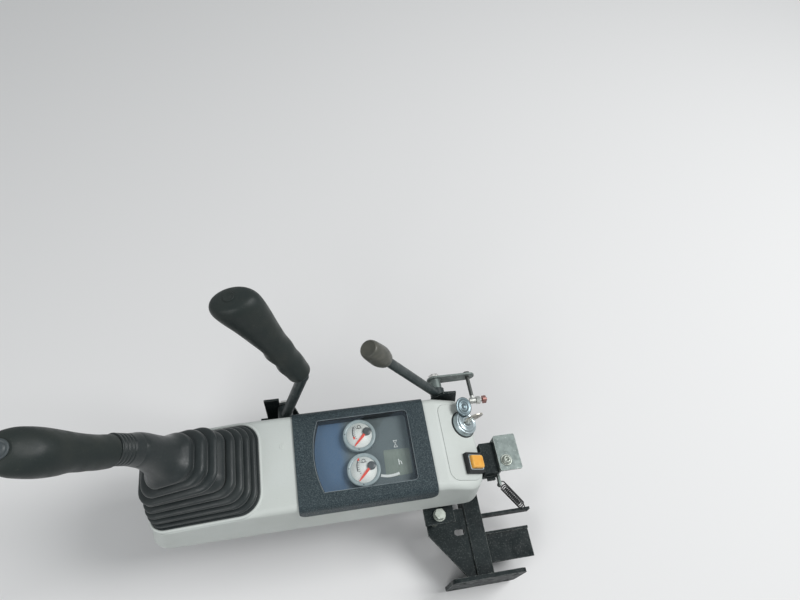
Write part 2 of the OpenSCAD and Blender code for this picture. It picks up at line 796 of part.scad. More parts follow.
module lever_pivots() color("silver") {
    lever_pivot(blade_x, blade_z, lever_y + hub_w(lever_y) / 2 + 1 + cheek_t + gap);
    lever_pivot(throttle_x, throttle_z, throttle_y + crank_y + crank_t / 2 + 1);
}

// Bores the pivot's hole through its children
module lever_hub() {
    difference() {
        children();
        rod_y(pivot_d + 2 * run, 80);
    }
}

// Moves its children to the bend of the blade lever, with Z along its grip
module blade_bend() {
    translate([blade_rod_l * sin(blade_rod_lean), 0, blade_rod_l * cos(blade_rod_lean)])
        rotate([-blade_grip_side, -blade_grip_lean, 0]) children();
}

module blade_rod() color("#4a4f54") console() translate([blade_x, lever_y, blade_z]) lever_hub() {
    rod_y(hub_d, hub_w(lever_y));
    rotate([0, blade_rod_lean, 0]) cylinder(d = rod_d, h = blade_rod_l);
    blade_bend() {
        sphere(d = rod_d + 1);
        cylinder(d = rod_d, h = blade_grip_bore);
    }
}

// Sections of the blade lever's grip: distance along it, half length, half width, shift forwards,
// slope to the rear
BLADE_GRIP = [
    [0, 14, 13.5, 0, 0], [4, 16, 15.5, 0, 0], [14, 16.6, 16, 0, 0], [28, 18.2, 16.6, 0.6, 0],
    [42, 16.8, 16.8, 0, 0], [58, 19.4, 17.2, 0.8, 0], [73, 18.2, 17.6, 0, 0], [97, 21.5, 18.6, 1, 2],
    [122, 25.6, 20.2, 2, 4], [144, 29.4, 21.8, 4, 6], [157, 29.6, 21.8, 5, 8], [165, 25, 18.5, 5, 9],
    [168, 17, 12.5, 5, 9], [169, 8, 6, 5, 9]
];

module blade_grip() color("#26292c") console() translate([blade_x, lever_y, blade_z]) blade_bend()
    translate([0, 0, blade_grip_foot]) difference() {
        skin([for (row = BLADE_GRIP)
            [for (a = [0:15:345])
                [row[1] * cos(a) * cos(row[4]) - row[3],
                 row[2] * sin(a),
                 row[0] * blade_grip_l / 169 - row[1] * cos(a) * sin(row[4])]]]);
        translate([0, 0, -1]) cylinder(d = rod_d + 2 * gap, h = blade_grip_bore - blade_grip_foot + 1 + gap);
    }

// Moves its children to the throttle lever's pivot
module at_throttle() {
    console() translate([throttle_x, throttle_y, throttle_z]) children();
}

module throttle_rod() color("#6a6f74") at_throttle() lever_hub() {
    rod_y(hub_d, hub_w(throttle_y));
    rotate([0, -throttle_lean, 0]) cylinder(d = rod_d - 1.5, h = throttle_l);
}

// Barrel-shaped knob with a flat end: share of its length, radius less
KNOB = [[0, 4.5], [0.08, 2.5], [0.3, 0.3], [0.45, 0], [0.8, 0.8], [0.92, 1.6], [0.98, 2.8], [1, 4]];

module throttle_knob() color("#3b3e41") at_throttle()
    rotate([0, -throttle_lean, 0]) translate([0, 0, throttle_l + gap]) rotate_extrude()
        polygon(concat([[0, 0]], [for (row = KNOB) [knob_d / 2 - row[1], row[0] * knob_l]], [[0, knob_l]]));

// Crank on the outboard end of the throttle's hub
module throttle_crank() color("#b9bcbd") at_throttle() difference() {
    union() {
        translate([0, crank_y, 0]) rotate([90, 0, 0]) linear_extrude(crank_t, center = true) {
            circle(d = crank_w);
            translate([crank_l, 0]) circle(d = crank_w - 2);
            polygon([[0, -crank_w / 2], [crank_l, 1 - crank_w / 2],
                [crank_l, crank_w / 2 - 1], [0, crank_w / 2]]);
        }
        translate([0, (hub_w(throttle_y) / 2 + crank_y - 0.5) / 2, 0])
            rod_y(hub_d - 5, crank_y - hub_w(throttle_y) / 2 - 1);
    }
    rod_y(pivot_d + 2 * run, 80);
    translate([crank_l, crank_y, 0]) rod_y(clamp_d + 1, 10);
}

// Pin at the crank's end with the swivel that holds the control cable, its nut and its washer
module cable_clamp() color("silver") at_throttle() translate([crank_l, 0, 0]) {
    translate([0, (crank_y + 5 + clamp_y) / 2, 0]) rod_y(clamp_d, crank_y + 5 - clamp_y);
    translate([0, crank_y + crank_t / 2 + gap, 0]) rotate([-90, 0, 0])
        cylinder(d = clamp_d + 6, h = 4, $fn = 6);
    translate([-5, clamp_y, 0]) rotate([0, 90, 0]) {
        cylinder(d = clamp_d + 3, h = 9);
        cylinder(d = clamp_d - 1, h = 27);
        translate([0, 0, 10]) cylinder(d = clamp_d + 6, h = 6, $fn = 6);
        translate([0, 0, 20]) cylinder(d = clamp_d + 6, h = 5);
    }
}

// Latch behind the console
module latch_bracket() color("#b9bcbd") console() difference() {
    union() {
        translate([latch_x + latch_l / 2, latch_y + latch_w / 2, latch_z]) linear_extrude(latch_t)
            round_rect(latch_l, latch_w, 3);
        translate([latch_x, latch_y + 2, latch_z - latch_h]) cube([latch_t, latch_w - 4, latch_h + 1]);
        translate([latch_x, latch_y - 14, latch_z - latch_h]) cube([latch_t, 18, 10]);
        translate([tray_rear, latch_y, latch_z - latch_h]) cube([latch_x + 1 - tray_rear, 30, latch_t]);
    }
    translate([latch_x + latch_bolt_x, latch_y + latch_bolt_y, latch_z - 1]) cylinder(d = 8 + 2 * run, h = 5);
    translate(spring_top) rotate([0, 90, 0]) cylinder(d = hook_d, h = latch_t + 2, center = true);
}

module latch_box() color("#2c2f33") console() translate([latch_x - 22, latch_y + 1, latch_z - 26]) {
    cube([22 - gap, 46, 22]);
    // Release stud at its inboard end
    translate([6, -6, -0.5]) cube([12, 7, 6]);
}

module latch_bolt() color("silver") console()
    translate([latch_x + latch_bolt_x, latch_y + latch_bolt_y, latch_z]) {
        translate([0, 0, -6]) cylinder(d = 8, h = 10);
        translate([0, 0, latch_t]) cylinder(d = 17, h = 1.5);
        translate([0, 0, latch_t + 1.5]) cylinder(d = 13, h = 4.5, $fn = 6);
    }

// Moves its children to point a, with Z towards point b
module towards(a, b) {
    v = b - a;
    translate(a) rotate([0, acos(v[2] / norm(v)), atan2(v[1], v[0])]) children();
}

// Turn about that Z which brings X nearest to a direction d of the console
function turn_to(a, b, d) =
    let (
        v = (b - a) / norm(b - a),
        flat = norm([v[0], v[1]]),
        ax = [v[2] * v[0] / flat, v[2] * v[1] / flat, -flat],
        ay = [-v[1] / flat, v[0] / flat, 0]
    )
    atan2(d * ay, d * ax);

// Part of a circle in the plane of Z and the direction turn, from angle a to b, about a point at height z
function spring_hook(turn, z, a, b) =
    [for (i = [0:9])
        let (g = lerp(a, b, i / 9))
        [coil_r * cos(g) * cos(turn), coil_r * cos(g) * sin(turn), z + coil_r * sin(g)]];

// Direction of a path at its point i
function path_way(path, i) =
    let (d = path[min(i + 1, len(path) - 1)] - path[max(i - 1, 0)])
    d / norm(d);

// A direction n turned square to the path at its point i
function square_to(path, i, n) =
    let (t = path_way(path, i), m = n - (n * t) * t)
    m / norm(m);

// Rings of a round wire along a path
function wire_rings(path, d) =
    [for (i = 0, n = square_to(path, 0, [0.3, 0.5, 0.8]); i < len(path);
        i = i + 1, n = square_to(path, min(i, len(path) - 1), n))
        let (u = cross(path_way(path, i), n))
        [for (a = [0:60:300]) path[i] + d / 2 * (cos(a) * n + sin(a) * u)]];

// Counterbalance spring, hooked into the bar and the latch bracket; one wire from end to end
module latch_spring() color("#55595e") console() {
    l = norm(spring_top - spring_low);
    low_turn = turn_to(spring_low, spring_top, [0, 1, 0]);
    turns = spring_turns + (turn_to(spring_low, spring_top, [1, 0, 0]) - low_turn) / 360;
    leg = 2 * coil_r + 2;
    towards(spring_low, spring_top) skin(wire_rings(concat(
        spring_hook(low_turn, coil_r, 100, 360),
        [for (i = [0:12 * spring_turns])
            let (k = i / (12 * spring_turns), g = low_turn + 360 * turns * k)
            [coil_r * cos(g), coil_r * sin(g), lerp(leg, l - leg, k)]],
        spring_hook(low_turn + 360 * turns, l - coil_r, 0, 260)
    ), wire_d));
}

arm();
tilt_pin();
spring_bar();
tray();
stop_bolt();
cover();
bezel();
window();
tub();
gauge_panel();
gauge_front();
gauge_rear();
needles();
switch_plate();
ignition_switch();
ignition_key();
dust_cap();
switch_base();
switch_cap();
pilot_valve();
valve_plungers();
gimbal();
stick();
cam_plate();
boot();
collar();
grip();
horn_button();
lever_bracket();
lever_pivots();
blade_rod();
blade_grip();
throttle_rod();
throttle_knob();
throttle_crank();
cable_clamp();
latch_bracket();
latch_box();
latch_bolt();
latch_spring();
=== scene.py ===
"""Right-hand operator control console of a wheeled excavator, dressed round its CAD part."""

import math

import bmesh
import bpy
from mathutils import Matrix, Vector


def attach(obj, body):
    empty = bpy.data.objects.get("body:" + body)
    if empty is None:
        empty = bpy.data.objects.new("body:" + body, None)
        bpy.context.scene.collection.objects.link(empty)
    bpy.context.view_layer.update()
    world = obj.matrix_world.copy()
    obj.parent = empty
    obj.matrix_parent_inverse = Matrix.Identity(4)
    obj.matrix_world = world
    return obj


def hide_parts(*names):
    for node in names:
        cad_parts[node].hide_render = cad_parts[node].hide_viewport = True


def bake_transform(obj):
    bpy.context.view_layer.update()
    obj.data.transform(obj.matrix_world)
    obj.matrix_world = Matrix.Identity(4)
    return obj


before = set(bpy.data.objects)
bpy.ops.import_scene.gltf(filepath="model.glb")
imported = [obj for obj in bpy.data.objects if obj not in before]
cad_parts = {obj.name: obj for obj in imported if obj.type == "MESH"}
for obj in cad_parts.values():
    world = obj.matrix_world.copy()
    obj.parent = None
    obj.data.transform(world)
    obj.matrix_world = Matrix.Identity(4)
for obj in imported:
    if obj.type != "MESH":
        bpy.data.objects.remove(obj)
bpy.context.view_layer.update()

# The camera stands above and behind the operator's right shoulder and looks down and forwards.
# Its place and angle were worked out from the straight edges of the console in the photograph.
scene = bpy.context.scene
scene.view_settings.view_transform = "Standard"


def put(name, data):
    """An object of that name with its camera, lamp or mesh, put into the scene."""
    made = bpy.data.objects.new(name, data)
    scene.collection.objects.link(made)
    return made


camera_data = bpy.data.cameras.new("camera")
camera_data.sensor_width = 36
camera_data.lens = 27.09
camera = put("camera", camera_data)
camera.matrix_world = Matrix((
    (0.982, 0.095, -0.160, -0.228),
    (-0.166, 0.840, -0.517, -0.090),
    (0.085, 0.535, 0.841, 0.967),
    (0, 0, 0, 1),
))
scene.camera = camera

# Plain pale floor just under the mounting plate, a weak sky that looks pale, one large lamp behind
# the object and a weaker one in front of it. The floor throws little light back on the object.
FLOOR_REACH, FLOOR_Z = 6, -0.047
FLOOR_LIT, FLOOR_SEEN = 0.40, 0.80
SKY_LIGHT, SKY_SEEN = 0.30, 0.55
floor_corners = [(x * FLOOR_REACH, y * FLOOR_REACH, FLOOR_Z) for x, y in ((-1, -1), (1, -1), (1, 1), (-1, 1))]
floor_mesh = bpy.data.meshes.new("floor")
floor_mesh.from_pydata(floor_corners, [], [(0, 1, 2, 3)])
floor = put("floor", floor_mesh)
floor_paint = bpy.data.materials.new("floor_paint")
floor_paint.use_nodes = True
floor_nodes, floor_links = floor_paint.node_tree.nodes, floor_paint.node_tree.links
floor_shader = floor_nodes["Principled BSDF"]
floor_shader.inputs["Roughness"].default_value = 0.9


def step(tree, operation, first, second=None):
    """One step of a tree's arithmetic, on numbers or on other steps."""
    node = tree.nodes.new("ShaderNodeMath")
    node.operation = operation
    for i, value in enumerate((first, second)):
        if isinstance(value, (int, float)):
            node.inputs[i].default_value = value
        elif value is not None:
            tree.links.new(value, node.inputs[i])
    return node.outputs[0]


def ramp(tree, value, start, end, low=0, high=1):
    """Goes from low to high as the value goes from start to end, and no further."""
    node = tree.nodes.new("ShaderNodeMapRange")
    for label, limit in (("From Min", start), ("From Max", end), ("To Min", low), ("To Max", high)):
        node.inputs[label].default_value = limit
    tree.links.new(value, node.inputs["Value"])
    return node.outputs["Result"]


def looked_at(tree, others, seen):
    """A value that is one thing where the eye, a mirror or a glass meets it, and another for soft light."""
    path = tree.nodes.new("ShaderNodeLightPath")
    any_of = step(tree, "MAXIMUM", path.outputs["Is Camera Ray"], path.outputs["Is Glossy Ray"])
    any_of = step(tree, "MAXIMUM", any_of, path.outputs["Is Transmission Ray"])
    return ramp(tree, any_of, 0, 1, others, seen)


floor_grey = floor_nodes.new("ShaderNodeCombineColor")
for socket in floor_grey.inputs[:3]:
    floor_links.new(looked_at(floor_paint.node_tree, FLOOR_LIT, FLOOR_SEEN), socket)
floor_links.new(floor_grey.outputs["Color"], floor_shader.inputs["Base Color"])
floor_mesh.materials.append(floor_paint)

world = bpy.data.worlds.new("soft_sky")
world.use_nodes = True
sky = world.node_tree.nodes["Background"]
sky.inputs["Color"].default_value = (0.94, 0.98, 1, 1)
world.node_tree.links.new(looked_at(world.node_tree, SKY_LIGHT, SKY_SEEN), sky.inputs["Strength"])
scene.world = world
LAMPS = (("rear_light", (1.7, 0.3, 2.5), 1.3, 62), ("front_light", (-1.5, -1.2, 1.7), 1.2, 19))
for name, place, size, power in LAMPS:
    lamp_data = bpy.data.lights.new(name, "AREA")
    lamp_data.size = size
    lamp_data.energy = power
    lamp = put(name, lamp_data)
    aim = Vector(place) - Vector((-0.2, 0.17, 0.1))
    lamp.matrix_world = Matrix.Translation(place) @ aim.to_track_quat("Z", "Y").to_matrix().to_4x4()


# Cover: one light grey injection moulding with a fine spark-eroded grain, about 3 mm thick.
# It is screwed down over the steel tray; the deck carries a small moulded dimple.
def finish(name, colour, roughness, metallic=0.0, gloss=0.5):
    """A material with one colour, ready for the grain and wear that follow."""
    paint = bpy.data.materials.new(name)
    paint.use_nodes = True
    shader = paint.node_tree.nodes["Principled BSDF"]
    shader.inputs["Base Color"].default_value = (*colour, 1)
    shader.inputs["Roughness"].default_value = roughness
    shader.inputs["Metallic"].default_value = metallic
    shader.inputs["Specular IOR Level"].default_value = gloss
    return paint


def spots(paint, size, low=0.35, high=0.65, detail=4, stretch=(1, 1, 1), seed=(0, 0, 0)):
    """A cloudy pattern from 0 to 1 whose spots have about that size in metres."""
    nodes, links = paint.node_tree.nodes, paint.node_tree.links
    place = nodes.new("ShaderNodeTexCoord")
    turned = nodes.new("ShaderNodeMapping")
    turned.inputs["Location"].default_value = seed
    turned.inputs["Scale"].default_value = stretch
    pattern = nodes.new("ShaderNodeTexNoise")
    pattern.inputs["Scale"].default_value = 1 / size
    pattern.inputs["Detail"].default_value = detail
    links.new(place.outputs["Object"], turned.inputs["Vector"])
    links.new(turned.outputs["Vector"], pattern.inputs["Vector"])
    return ramp(paint.node_tree, pattern.outputs[0], low, high)


def edges(paint, radius, seed=0.0):
    """A mask that is 1 along sharp edges, broken up as rubbed paint is."""
    nodes, links = paint.node_tree.nodes, paint.node_tree.links
    rounded = nodes.new("ShaderNodeBevel")
    rounded.samples = 4
    rounded.inputs["Radius"].default_value = radius
    flat = nodes.new("ShaderNodeNewGeometry")
    alike = nodes.new("ShaderNodeVectorMath")
    alike.operation = "DOT_PRODUCT"
    links.new(rounded.outputs["Normal"], alike.inputs[0])
    links.new(flat.outputs["Normal"], alike.inputs[1])
    sharp = ramp(paint.node_tree, alike.outputs["Value"], 0.985, 0.88)
    return step(paint.node_tree, "MULTIPLY", sharp, spots(paint, 0.006, 0.35, 0.6, seed=(seed, 0, 0)))


def tint(paint, mask, colour, amount=1.0):
    """Lays a colour over the paint where the mask is 1."""
    nodes, links = paint.node_tree.nodes, paint.node_tree.links
    base = nodes["Principled BSDF"].inputs["Base Color"]
    layer = nodes.new("ShaderNodeMix")
    layer.data_type = "RGBA"
    layer.inputs[6].default_value = base.default_value
    if base.is_linked:
        links.new(base.links[0].from_socket, layer.inputs[6])
    layer.inputs[7].default_value = (*colour, 1)
    links.new(step(paint.node_tree, "MULTIPLY", mask, amount), layer.inputs[0])
    links.new(layer.outputs[2], base)


def mottle(paint, size, colour, amount, low=0.4, high=0.7, **how):
    """Lays cloudy spots of another colour over the paint."""
    tint(paint, spots(paint, size, low, high, **how), colour, amount)


def zone(paint, axis, start, end):
    """A mask that rises from 0 to 1 between two places along an axis of the part's frame, in metres."""
    nodes, links = paint.node_tree.nodes, paint.node_tree.links
    place = nodes.new("ShaderNodeTexCoord")
    parts = nodes.new("ShaderNodeSeparateXYZ")
    links.new(place.outputs["Object"], parts.inputs["Vector"])
    return ramp(paint.node_tree, parts.outputs[axis], start, end)


def roughen(paint, mask, low, high):
    """Roughness from low where the mask is 0 to high where it is 1."""
    roughness = paint.node_tree.nodes["Principled BSDF"].inputs["Roughness"]
    paint.node_tree.links.new(ramp(paint.node_tree, mask, 0, 1, low, high), roughness)


def grain(paint, height, depth):
    """Raises the surface by up to depth metres, on top of any grain it already has."""
    nodes, links = paint.node_tree.nodes, paint.node_tree.links
    normal = nodes["Principled BSDF"].inputs["Normal"]
    bump = nodes.new("ShaderNodeBump")
    bump.inputs["Distance"].default_value = depth
    links.new(height, bump.inputs["Height"])
    if normal.is_linked:
        links.new(normal.links[0].from_socket, bump.inputs["Normal"])
    links.new(bump.outputs["Normal"], normal)


def pebble(paint, size, depth, detail=4):
    """A fine raised grain of that size and depth in metres."""
    grain(paint, spots(paint, size, 0.3, 0.7, detail), depth)


def dress(piece, body, paint, slot, *nodes, smooth=True):
    """Gives a piece its finish and its body, and lets it stand for CAD nodes."""
    piece.data.materials.clear()
    piece.data.materials.append(paint)
    for face in piece.data.polygons:
        face.use_smooth = smooth
    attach(piece, body)
    if nodes:
        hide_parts(*nodes)
    return piece


def rounded(node, radius, steps=2):
    """A copy of a CAD node with its sharp edges broken, as moulding and deburring leave them."""
    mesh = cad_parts[node].data.copy()
    work = bmesh.new()
    work.from_mesh(mesh)
    bmesh.ops.remove_doubles(work, verts=work.verts, dist=1e-5)
    bmesh.ops.dissolve_limit(work, angle_limit=math.radians(1), verts=work.verts, edges=work.edges)
    for edge in work.edges:
        edge.smooth = not (edge.is_manifold and edge.calc_face_angle(0) > math.radians(32))
    work.to_mesh(mesh)
    work.free()
    mesh.name = node + "_shown"
    piece = put(node + "_shown", mesh)
    bevel = piece.modifiers.new("broken_edges", "BEVEL")
    bevel.width = radius
    bevel.segments = steps
    bevel.limit_method = "ANGLE"
    bevel.angle_limit = math.radians(32)
    bevel.harden_normals = False
    even = piece.modifiers.new("even_shading", "WEIGHTED_NORMAL")
    even.keep_sharp = True
    return piece


def clad(node, body, paint, slot, radius, steps=2):
    """A CAD node's own shape with broken edges, in its finish and on its body."""
    return dress(rounded(node, radius, steps), body, paint, slot, node)


def at(x, y, z):
    """A place in the part's frame from millimetres in the console's own."""
    return Vector((x - 300, y + 172, z + 154)) / 1000


cover_plastic = finish("cover_plastic", (0.610, 0.650, 0.625), 0.5)
mottle(cover_plastic, 0.09, (0.53, 0.56, 0.52), 0.5, 0.4, 0.75)
mottle(cover_plastic, 0.0016, (0.42, 0.42, 0.40), 0.25, 0.62, 0.72, seed=(1, 2, 0))
tint(cover_plastic, edges(cover_plastic, 0.0015), (0.36, 0.36, 0.34), 0.25)
roughen(cover_plastic, spots(cover_plastic, 0.02, seed=(3, 0, 0)), 0.42, 0.58)
pebble(cover_plastic, 0.0007, 0.00008, 2)
clad("cover", "console", cover_plastic, "cover_plastic", 0.0008)


def lathe(name, profile, steps, start, way=(0, 0, 1)):
    """A turned piece from rows of radius and distance in millimetres, standing at start along way."""
    work = bmesh.new()
    turns = [math.tau * i / steps for i in range(steps)]
    rings = [
        [
            work.verts.new((radius / 1000 * math.cos(turn), radius / 1000 * math.sin(turn), along / 1000))
            for turn in turns
        ]
        for radius, along in profile
    ]
    for low, high in zip(rings, rings[1:]):
        for i in range(steps):
            j = (i + 1) % steps
            work.faces.new((low[i], low[j], high[j], high[i]))
    work.faces.new(list(reversed(rings[0])))
    work.faces.new(rings[-1])
    mesh = bpy.data.meshes.new(name)
    work.to_mesh(mesh)
    work.free()
    mesh.transform(Matrix.Translation(start) @ Vector(way).to_track_quat("Z", "Y").to_matrix().to_4x4())
    return put(name, mesh)


DIMPLE = [(4.4, -0.8), (4.4, 0.15), (3.8, 0.35), (3.1, 0.1), (2.4, 0.1), (1.8, 0.3), (0.4, 0.4)]
dress(lathe("cover_dimple", DIMPLE, 40, at(26.7, 22.4, 0)), "console", cover_plastic, "cover_plastic")

# Bezel: dark blue-grey moulding with a coarse stippled leather grain, clipped over the deck and wrapped
# down both sides. The pale specks on its grain are painted highlights, where the grain would catch the light.
bezel_plastic = finish("bezel_plastic", (0.018, 0.030, 0.037), 0.42, 0, 0.28)
stipple_and_painted_glints = spots(bezel_plastic, 0.0011, 0.47, 0.66, 3)
# Painted highlights: pale specks laid into the colour over the grain, standing for the light it catches.
tint(bezel_plastic, stipple_and_painted_glints, (0.105, 0.145, 0.155), 0.8)
mottle(bezel_plastic, 0.05, (0.040, 0.056, 0.062), 0.4, 0.4, 0.8)
tint(bezel_plastic, edges(bezel_plastic, 0.001, 4), (0.20, 0.22, 0.23), 0.4)
roughen(bezel_plastic, stipple_and_painted_glints, 0.5, 0.32)
grain(bezel_plastic, stipple_and_painted_glints, 0.00022)
clad("bezel", "console", bezel_plastic, "bezel_plastic", 0.0012, 3)

# Instrument panel: a matt printed sheet on the floor of the black tub, under the smoked window.
# Its blue at the front is a painted reflection of the sky, fading to a warmer grey print, with a clear read-out
# and two symbols.
black_plastic = finish("black_plastic", (0.012, 0.014, 0.015), 0.55, 0, 0.3)
mottle(black_plastic, 0.03, (0.022, 0.024, 0.026), 0.6, 0.35, 0.65)
pebble(black_plastic, 0.0008, 0.00008, 2)
clad("tub", "console", black_plastic, "black_plastic", 0.0004)
# Painted reflection: the blue base colour stands for the sky mirrored at the front; the zone turns it to the grey
# print.
panel_print_and_painted_reflection = finish("panel_print_and_painted_reflection", (0.075, 0.150, 0.260), 0.5)
tint(panel_print_and_painted_reflection, zone(panel_print_and_painted_reflection, "X", at(104, 0, 0).x, at(118, 0, 0).x), (0.125, 0.160, 0.165))
mottle(panel_print_and_painted_reflection, 0.0009, (0.20, 0.235, 0.24), 0.35, 0.5, 0.7)
roughen(panel_print_and_painted_reflection, spots(panel_print_and_painted_reflection, 0.01), 0.45, 0.6)
clad("gauge_panel", "console", panel_print_and_painted_reflection, "black_plastic", 0.0003)
PANEL_TOP, READ_OUT_TOP, PRINT_TOP = -14, -13.7, -13.4
READ_OUT, READ_OUT_ROUND = [(163, -37, 1, 1), (200, -35, -1, 1), (201, 1, -1, -1), (164, 2, 1, -1)], 2
corners = []
for i, (x, y, inward_x, inward_y) in enumerate(READ_OUT):
    for turn in range(5):
        angle = math.radians(180 + 90 * i + 22.5 * turn)
        corners.append((
            x + READ_OUT_ROUND * inward_x + READ_OUT_ROUND * math.cos(angle),
            y + READ_OUT_ROUND * inward_y + READ_OUT_ROUND * math.sin(angle),
        ))
n = len(corners)
read_out_mesh = bpy.data.meshes.new("read_out")
read_out_mesh.from_pydata(
    [at(x, y, PANEL_TOP - 0.1) for x, y in corners] + [at(x, y, READ_OUT_TOP) for x, y in corners],
    [],
    [tuple(reversed(range(n))), tuple(range(n, 2 * n))]
    + [(i, (i + 1) % n, n + (i + 1) % n, n + i) for i in range(n)],
)
read_out = put("read_out", read_out_mesh)
read_out_glass = finish("read_out_glass", (0.215, 0.260, 0.225), 0.2)
mottle(read_out_glass, 0.004, (0.30, 0.35, 0.30), 0.5, stretch=(1, 0.3, 1))
pebble(read_out_glass, 0.0006, 0.00003, 2)
dress(read_out, "console", read_out_glass, "black_plastic", smooth=False)

white_print = finish("white_print", (0.86, 0.90, 0.88), 0.5)
mottle(white_print, 0.002, (0.68, 0.72, 0.70), 0.6)


def ribbon(name, points, widths, height, paint, slot="black_plastic", thick=0.25):
    """A thin printed or stamped strip through the points, lying level, in millimetres of the console."""
    corners = []
    for i, (x, y) in enumerate(points):
        before, after = points[max(i - 1, 0)], points[min(i + 1, len(points) - 1)]
        way = Vector((after[0] - before[0], after[1] - before[1])).normalized()
        half = widths[i] / 2 if isinstance(widths, (list, tuple)) else widths / 2
        corners += [
            at(x - way.y * half * k, y + way.x * half * k, up)
            for k, up in ((-1, height - thick), (-1, height), (1, height), (1, height - thick))
        ]
    last = len(corners) - 4
    faces = [
        (i + k, i + 4 + k, i + 4 + (k + 1) % 4, i + (k + 1) % 4)
        for i in range(0, last, 4)
        for k in range(4)
    ]
    mesh = bpy.data.meshes.new(name)
    mesh.from_pydata(corners, [], [(0, 1, 2, 3)] + faces + [(last + 3, last + 2, last + 1, last)])
    piece = put(name, mesh)
    return dress(piece, "console", paint, slot, smooth=False)


def arc_points(x, y, radius, start, end, count):
    """Points on part of a circle, in degrees."""
    return [
        (x + radius * math.cos(math.radians(start + (end - start) * i / (count - 1))),
         y + radius * math.sin(math.radians(start + (end - start) * i / (count - 1))))
        for i in range(count)
    ]


PRINTS = (
    ("white_arc", arc_points(169, 6.2, 40.8, 251, 288, 18), 3.6),
    ("hour_mark", [(183.4, -13), (183.4, -21)], 1.2),
    ("hour_mark_arch", [(183.6, -17), (185, -16), (186.6, -17), (187, -21)], 1.1),
    ("timer_mark_top", [(180, 14), (185, 14), (182.5, 9.2), (180, 14)], 1.0),
    ("timer_mark_low", [(180, 4.5), (185, 4.5), (182.5, 9.2), (180, 4.5)], 1.0),
)
for name, points, width in PRINTS:
    ribbon(name, points, width, PRINT_TOP, white_print)

# Gauges: two round instruments with a pale translucent rim, a white dial, a dark scale with a red
# end, and a red needle whose dark hub sits towards the dial's rear outboard edge.
rim_plastic = finish("rim_plastic", (0.34, 0.42, 0.43), 0.25)
mottle(rim_plastic, 0.008, (0.46, 0.54, 0.54), 0.6, 0.35, 0.7)
pebble(rim_plastic, 0.001, 0.00003)
dial_print = finish("dial_print", (0.90, 0.94, 0.90), 0.42)
mottle(dial_print, 0.012, (0.76, 0.81, 0.78), 0.5)
pebble(dial_print, 0.0006, 0.00002)
scale_print = finish("scale_print", (0.05, 0.05, 0.055), 0.5)
mottle(scale_print, 0.001, (0.10, 0.10, 0.10), 0.6)
needle_paint = finish("needle_paint", (0.92, 0.11, 0.07), 0.35)
mottle(needle_paint, 0.004, (0.75, 0.08, 0.05), 0.5)
hub_plastic = finish("hub_plastic", (0.085, 0.098, 0.100), 0.3)
mottle(hub_plastic, 0.003, (0.15, 0.17, 0.17), 0.6)
pebble(hub_plastic, 0.0005, 0.00003)


def tree_of(name, **sizes):
    """A Geometry Nodes tree, its way in, and its named inputs for sizes, each a Float or an Int."""
    tree = bpy.data.node_groups.new(name, "GeometryNodeTree")
    tree.interface.new_socket("Geometry", in_out="INPUT", socket_type="NodeSocketGeometry")
    sockets = [
        tree.interface.new_socket(label, in_out="INPUT", socket_type="NodeSocket" + kind)
        for label, kind in sizes.items()
    ]
    tree.interface.new_socket("Geometry", in_out="OUTPUT", socket_type="NodeSocketGeometry")
    return tree, tree.nodes.new("NodeGroupInput").outputs, sockets


def ended(tree, geometry, paint):
    """Ends a tree with Realize Instances and Set Material."""
    real, painted = tree.nodes.new("GeometryNodeRealizeInstances"), tree.nodes.new("GeometryNodeSetMaterial")
    painted.inputs["Material"].default_value = paint
    tree.links.new(geometry, real.inputs["Geometry"])
    tree.links.new(real.outputs["Geometry"], painted.inputs["Geometry"])
    tree.links.new(painted.outputs["Geometry"], tree.nodes.new("NodeGroupOutput").inputs["Geometry"])


def grown(name, tree, values, mesh=None):
    """Runs a tree with its named inputs, keeps the result as a plain mesh and removes the modifier."""
    piece = put(name, mesh or bpy.data.meshes.new(name))
    maker = piece.modifiers.new(name, "NODES")
    maker.node_group = tree
    for socket, value in values.items():
        maker[socket.identifier] = value
    made = bpy.data.meshes.new_from_object(piece.evaluated_get(bpy.context.evaluated_depsgraph_get()))
    piece.modifiers.remove(maker)
    piece.data = made
    made.name = name
    return piece


def ticks(name, x, y, radius, start, end, count, height, paint):
    """Marks on a dial: Geometry Nodes set a small bar on each point of an arc."""
    tree, given, (marks, reach) = tree_of(name, marks="Int", radius="Float")
    arc = tree.nodes.new("GeometryNodeCurveArc")
    arc.inputs["Start Angle"].default_value = math.radians(start)
    arc.inputs["Sweep Angle"].default_value = math.radians(end - start)
    tree.links.new(given["radius"], arc.inputs["Radius"])
    tree.links.new(given["marks"], arc.inputs["Resolution"])
    bar = tree.nodes.new("GeometryNodeMeshCube")
    bar.inputs["Size"].default_value = (0.0006, 0.0022, 0.0003)
    spread = tree.nodes.new("GeometryNodeInstanceOnPoints")
    tangent = tree.nodes.new("GeometryNodeInputTangent")
    turn = tree.nodes.new("FunctionNodeAlignEulerToVector")
    turn.axis = "X"
    tree.links.new(tangent.outputs["Tangent"], turn.inputs["Vector"])
    tree.links.new(arc.outputs["Curve"], spread.inputs["Points"])
    tree.links.new(bar.outputs["Mesh"], spread.inputs["Instance"])
    tree.links.new(turn.outputs["Rotation"], spread.inputs["Rotation"])
    ended(tree, spread.outputs["Instances"], paint)
    piece = grown(name, tree, {marks: count, reach: radius / 1000})
    piece.data.transform(Matrix.Translation(at(x, y, height)))
    return dress(piece, "console", paint, "black_plastic")


